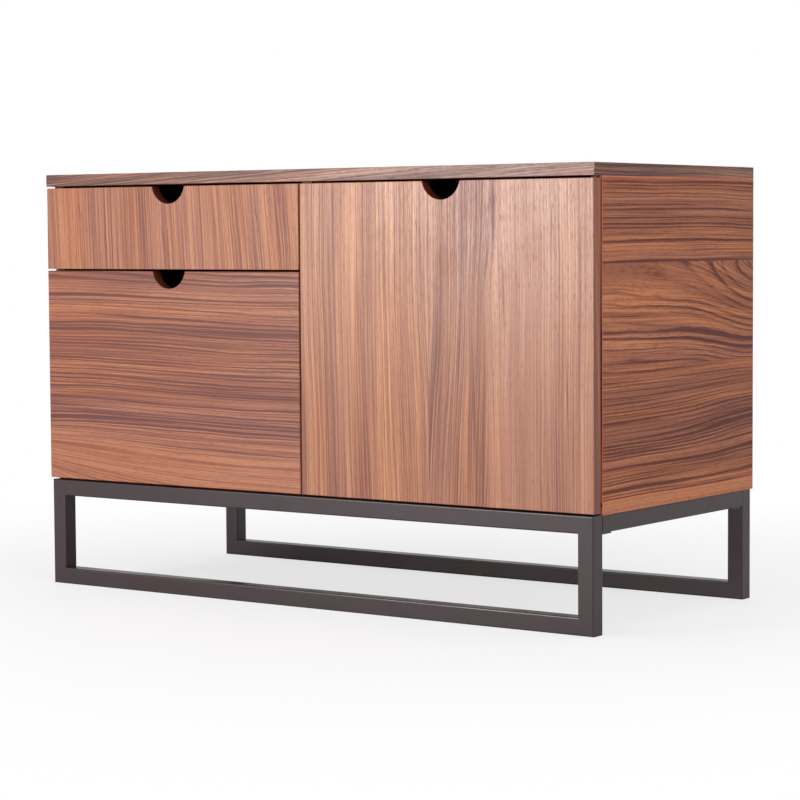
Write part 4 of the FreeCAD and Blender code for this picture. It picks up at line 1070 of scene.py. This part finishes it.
# ---- operators ----
class CREDENZA_OT_stage(bpy.types.Operator):
    """Floor, white surroundings, soft lights and the camera"""

    bl_idname = "credenza.stage"
    bl_label = "Stage"

    def execute(self, context):
        chosen = settings().stage
        self.camera(chosen)
        self.floor(chosen)
        self.surroundings(chosen)
        for name, place, target, size, key in SOFTBOXES:
            self.softbox(name, place, target, size, getattr(chosen, key))
        context.scene.view_settings.view_transform = "Standard"
        return {"FINISHED"}

    def camera(self, chosen):
        yaw, pitch, roll = CAMERA_TURN
        turn = Matrix.Identity(4)
        for angle, axis in ((yaw, "Z"), (90.0 + pitch, "X"), (roll, "Z")):
            turn @= Matrix.Rotation(math.radians(angle), 4, axis)
        data = bpy.data.cameras.new("Camera")
        data.lens = chosen.lens
        data.sensor_width = 36.0
        data.clip_end = 60.0
        camera = link(bpy.data.objects.new("Camera", data))
        camera.matrix_world = Matrix.Translation(CAMERA_PLACE) @ turn
        bpy.context.scene.camera = camera

    def floor(self, chosen):
        """A wide floor that turns to plain white far from the cabinet."""
        made, t, shader, output, place, _ = new_material("Pale floor")
        t.feed(shader.inputs["Base Color"], opaque(chosen.floor))
        marks = use(t, wear_group, Place=place, Size=3.0)["Marks"]
        t.feed(shader.inputs["Roughness"], t.sum(0.55, t.times(marks, 0.08)))
        shader.inputs["Specular IOR Level"].default_value = 0.25
        light = t.add("ShaderNodeEmission", {"Color": WHITE, "Strength": 1.0})
        x, y, _ = t.parts(place)
        away = t.distance(x, y)
        path = t.add("ShaderNodeLightPath").outputs
        seen = t.times(t.most(path["Is Camera Ray"], path["Is Transmission Ray"]),
                       t.sum(0.70, t.times(t.ramp(away, 0.45, 1.5), 0.30)))
        mirrored = t.times(path["Is Glossy Ray"], t.ramp(away, 1.2, 3.0), 0.8)
        mixed = t.add("ShaderNodeMixShader", {0: t.most(seen, mirrored), 1: shader.outputs[0],
                                              2: light.outputs[0]})
        t.feed(output.inputs["Surface"], mixed.outputs[0])
        shape = bmesh.new()
        lathe(shape, [(radius, -0.0001) for radius in (0.0, 1.0, 2.5, 14.0)], steps=64)
        from_bmesh("Floor", shape, made)

    def surroundings(self, chosen):
        """White to look at, softer as light."""
        world = bpy.data.worlds.new("Surroundings")
        world.use_nodes = True
        world.node_tree.nodes.clear()
        t = Tree(world.node_tree)
        seen = t.add("ShaderNodeBackground", {"Color": WHITE, "Strength": 1.0})
        ambient = t.add("ShaderNodeBackground", {"Color": WHITE, "Strength": chosen.ambient})
        path = t.add("ShaderNodeLightPath").outputs
        direct = t.most(t.most(path["Is Camera Ray"], path["Is Transmission Ray"]),
                        t.times(path["Is Glossy Ray"], 0.55))
        mixed = t.add("ShaderNodeMixShader", {0: direct, 1: ambient.outputs[0],
                                              2: seen.outputs[0]})
        t.add("ShaderNodeOutputWorld", {"Surface": mixed.outputs[0]})
        bpy.context.scene.world = world

    def softbox(self, name, place, target, size, watts):
        data = bpy.data.lights.new(name, "AREA")
        data.shape = "SQUARE"
        data.size = size
        data.energy = watts
        lamp = link(bpy.data.objects.new(name, data))
        turn = (Vector(target) - Vector(place)).to_track_quat("-Z", "Y").to_matrix().to_4x4()
        lamp.matrix_world = Matrix.Translation(place) @ turn


class CREDENZA_OT_boards(bpy.types.Operator):
    """Veneer on the cabinet's boards, shelf and back, and beech for the dowels"""

    bl_idname = "credenza.boards"
    bl_label = "Cabinet boards"

    def execute(self, context):
        dress(["top_panel", "bottom_panel", "left_side_panel", "right_side_panel",
               "centre_divider", "back_panel", "shelf", "dowels"])
        return {"FINISHED"}


class CREDENZA_OT_fronts(bpy.types.Operator):
    """Veneer on the door and on the two drawer fronts"""

    bl_idname = "credenza.fronts"
    bl_label = "Fronts"

    def execute(self, context):
        dress(["door", "upper_drawer_front", "lower_drawer_front"])
        return {"FINISHED"}


class CREDENZA_OT_drawer_boxes(bpy.types.Operator):
    """Birch for the two drawer boxes"""

    bl_idname = "credenza.drawer_boxes"
    bl_label = "Drawer boxes"

    def execute(self, context):
        for level in ("upper", "lower"):
            dress([f"{level}_drawer_{part}" for part in ("left_side", "right_side",
                                                         "inner_front", "back", "base")])
        return {"FINISHED"}


class CREDENZA_OT_frame(bpy.types.Operator):
    """Powder coat on the square-tube frame, with weld beads at its tabs"""

    bl_idname = "credenza.frame"
    bl_label = "Frame"

    def execute(self, context):
        dress([name for name in NODES if slot_of(name) == "bronze_frame"])
        chosen = settings().fittings
        inset = 0.0012      # from a tab's side to the end of its weld
        welds = []
        for points in islands("frame_tabs"):
            low, high, middle = reach(points)
            at_post = low.y if middle.y < 0 else high.y
            welds.append([(x, at_post, low.z) for x in (low.x + inset, high.x - inset)])
        beads = grown("tab_welds", edges_mesh("tab welds", welds), beads_tree, {
            "Radius": chosen.bead, "Ripple": chosen.ripple, "Seed": chosen.seed,
            "Material": finish("bronze_frame")})
        seat(beads, "cabinet", "bronze_frame")
        return {"FINISHED"}


class CREDENZA_OT_screws(bpy.types.Operator):
    """Cross-head screws of the frame, the cabinet, the drawers and the hinges"""

    bl_idname = "credenza.screws"
    bl_label = "Screws"

    def execute(self, context):
        head = recessed("screw head", [
            (0.0, 0.0), (0.35, -0.01), (0.62, -0.08), (0.83, -0.24), (0.95, -0.48),
            (1.0, -0.74), (1.0, -0.97), (0.96, -1.0), (0.0, -1.0)], 0.62)
        shank = turned("screw shank", [(0.0, -0.02), (0.92, -0.03), (0.92, -0.86),
                                       (0.45, -0.95), (0.0, -1.0)], steps=12)
        for node in ("frame_screws", "cabinet_screws", "upper_drawer_screws",
                     "lower_drawer_screws", "hinge_cup_screws"):
            rows = []
            for points in islands(node):
                place, facing, radius, height, thin, whole = fastener(points)
                rows.append((place, facing, (radius, radius, height),
                             (thin, thin, whole - height * 0.5)))
            fastened(node, rows, head, shank)
        remove(head, shank)
        return {"FINISHED"}


class CREDENZA_OT_cams(bpy.types.Operator):
    """Cam fittings and their bolts"""

    bl_idname = "credenza.cams"
    bl_label = "Cam fittings"

    def execute(self, context):
        dress(["cam_bolts"])
        face = recessed("cam face", [
            (0.0, 0.0), (0.66, 0.0), (0.70, -0.03), (0.84, -0.03), (0.88, 0.0), (0.96, -0.01),
            (1.0, -0.05), (1.0, -0.18), (0.0, -0.18)], 0.14)
        drum = turned("cam drum", [(0.0, -0.17), (0.92, -0.18), (0.92, -0.32), (1.0, -0.34),
                                   (1.0, -0.96), (0.95, -1.0), (0.0, -1.0)])
        rows = []
        for points in islands("cam_fittings"):
            low, high, middle = reach(points)
            place = Vector((min(low.x, high.x, key=abs), middle.y, middle.z))
            radius = (high.y - low.y) / 2
            size = (radius, radius, high.x - low.x)
            rows.append((place, (-math.copysign(1.0, low.x), 0.0, 0.0), size, size))
        fastened("cam_fittings", rows, face, drum)
        remove(face, drum)
        return {"FINISHED"}


class CREDENZA_OT_slides(bpy.types.Operator):
    """Zinc-plated slide members and retainers with their rows of balls"""

    bl_idname = "credenza.slides"
    bl_label = "Drawer slides"

    def execute(self, context):
        for level in ("upper", "lower"):
            dress([f"{level}_slide_{part}" for part in (
                "cabinet_members", "middle_members", "drawer_members", "outer_retainers",
                "inner_retainers")])
            for ring in ("outer", "inner"):
                self.balls(f"{level}_slide_{ring}_retainers", f"{level}_{ring}_balls")
        return {"FINISHED"}

    def balls(self, node, name):
        """Two rows of balls on each retainer, inset from its edges and its ends."""
        inset, end = 0.0015, 0.005
        chosen = settings().fittings
        rows = []
        for points in islands(node):
            low, high, middle = reach(points)
            for z in (low.z + inset, high.z - inset):
                rows.append([(middle.x, y, z) for y in (low.y + end, high.y - end)])
        made = grown(name, edges_mesh(name, rows), balls_tree, {
            "Pitch": chosen.pitch, "Radius": chosen.ball, "Material": finish("nickel_steel")})
        seat(made, body_of_node(node), "nickel_steel")


class CREDENZA_OT_hinges(bpy.types.Operator):
    """Nickel-plated hinge cups, arms, plates, links and pins"""

    bl_idname = "credenza.hinges"
    bl_label = "Door hinges"

    rim = 0.0185        # radius of a cup's rolled rim
    sheet = 0.0009      # thickness of its steel
    flange = 0.001      # thickness of its flange

    def execute(self, context):
        dress(["hinge_arms", "hinge_pivot_pins", "hinge_plates", "hinge_outer_links",
               "hinge_inner_links"])
        shape = bmesh.new()
        for points in islands("hinge_cups"):
            low, high, middle = reach(points)
            centre = Vector((high.x - self.rim, high.y - self.flange, middle.z))
            self.cup(shape, centre, (high.y - low.y) - self.flange)
            self.wing(shape, centre)
        made = from_bmesh("hinge_cups_drawn", shape, finish("nickel_steel"))
        seat(made, "door", "nickel_steel", "hinge_cups")
        return {"FINISHED"}

    def cup(self, shape, centre, deep):
        """One cup, open to the cabinet: a wall of sheet steel with rounded floor and rim."""
        wall = 0.01735
        inside = wall - 0.00075
        outer = [(0.0, -deep), (0.0145, -deep), (inside, -deep + self.sheet),
                 (wall, -deep + 0.0030), (wall, -0.0001)]
        lip = [(0.0183, 0.0001), (self.rim, 0.0005), (0.0183, 0.0009), (0.0178, self.flange),
               (0.0170, 0.0008), (inside, 0.0002)]
        inner = [(inside, -deep + 0.0034), (0.0160, -deep + 0.0017),
                 (0.0143, -deep + self.sheet), (0.0, -deep + self.sheet)]
        lathe(shape, outer + lip + inner, centre, FACING_BACK, steps=48)

    def wing(self, shape, centre):
        """The flange with round ends that carries the two screws."""
        half, end, middle = 0.028, 0.0075, -0.0083
        arc = [math.pi * step / 12 for step in range(13)]
        edge = [(middle - end * math.cos(a), half - end + end * math.sin(a)) for a in arc]
        outline = edge + [(x, -z) for x, z in reversed(edge)]
        rings = []
        for height, shrink in ((0.00002, 0.0), (0.0008, 0.0), (self.flange, 0.0003)):
            ring = []
            for x, z in outline:
                pull_x = shrink if x < middle + shrink else -shrink
                pull_z = -shrink if z > 0 else shrink
                ring.append(shape.verts.new(centre + Vector((x + pull_x, height, z + pull_z))))
            rings.append(ring)
        shape.faces.new(rings[0])
        shape.faces.new(rings[-1])
        for below, above in zip(rings, rings[1:]):
            bridge(shape, below, above)


class CREDENZA_OT_shelf_pins(bpy.types.Operator):
    """Zinc-plated shelf pins"""

    bl_idname = "credenza.shelf_pins"
    bl_label = "Shelf pins"

    def execute(self, context):
        dress(["shelf_pins"])
        return {"FINISHED"}


class CREDENZA_OT_pads(bpy.types.Operator):
    """Domed soft pads on the door's back"""

    bl_idname = "credenza.pads"
    bl_label = "Soft pads"

    def execute(self, context):
        dome = ((0.0, 0.0), (1.0, 0.0), (1.0, 0.25), (0.94, 0.55), (0.74, 0.84), (0.40, 0.97),
                (0.0, 1.0))
        shape = bmesh.new()
        for points in islands("door_buffers"):
            low, high, middle = reach(points)
            radius = (high.z - low.z) / 2
            tall = high.y - low.y
            lathe(shape, [(radius * across, tall * up) for across, up in dome],
                  (middle.x, low.y, middle.z), FACING_BACK, steps=28)
        made = from_bmesh("door_pads", shape, finish("soft_pad"))
        seat(made, "door", "soft_pad", "door_buffers")
        return {"FINISHED"}


class CREDENZA_PT_panel(bpy.types.Panel):
    """The credenza's steps and settings"""

    bl_label = "Office credenza"
    bl_idname = "CREDENZA_PT_panel"
    bl_space_type = "VIEW_3D"
    bl_region_type = "UI"
    bl_category = "Credenza"

    def draw(self, context):
        for step in STEPS:
            self.layout.operator(step.bl_idname)
        for key in GROUPS:
            box = self.layout.box()
            box.label(text=key.capitalize())
            group = getattr(settings(), key)
            for name in group.__annotations__:
                box.prop(group, name)


STEPS = (
    CREDENZA_OT_stage, CREDENZA_OT_boards, CREDENZA_OT_fronts, CREDENZA_OT_drawer_boxes,
    CREDENZA_OT_frame, CREDENZA_OT_screws, CREDENZA_OT_cams, CREDENZA_OT_slides,
    CREDENZA_OT_hinges, CREDENZA_OT_shelf_pins, CREDENZA_OT_pads,
)
CLASSES = (*GROUPS.values(), CREDENZA_PG_all, *STEPS, CREDENZA_PT_panel)


def register():
    for kind in CLASSES:
        bpy.utils.register_class(kind)
    bpy.types.Scene.credenza = PointerProperty(type=CREDENZA_PG_all)


def unregister():
    del bpy.types.Scene.credenza
    for kind in reversed(CLASSES):
        bpy.utils.unregister_class(kind)


def main():
    register()
    for step in STEPS:
        group, name = step.bl_idname.split(".")
        getattr(getattr(bpy.ops, group), name)()


if __name__ == "__main__":
    main()
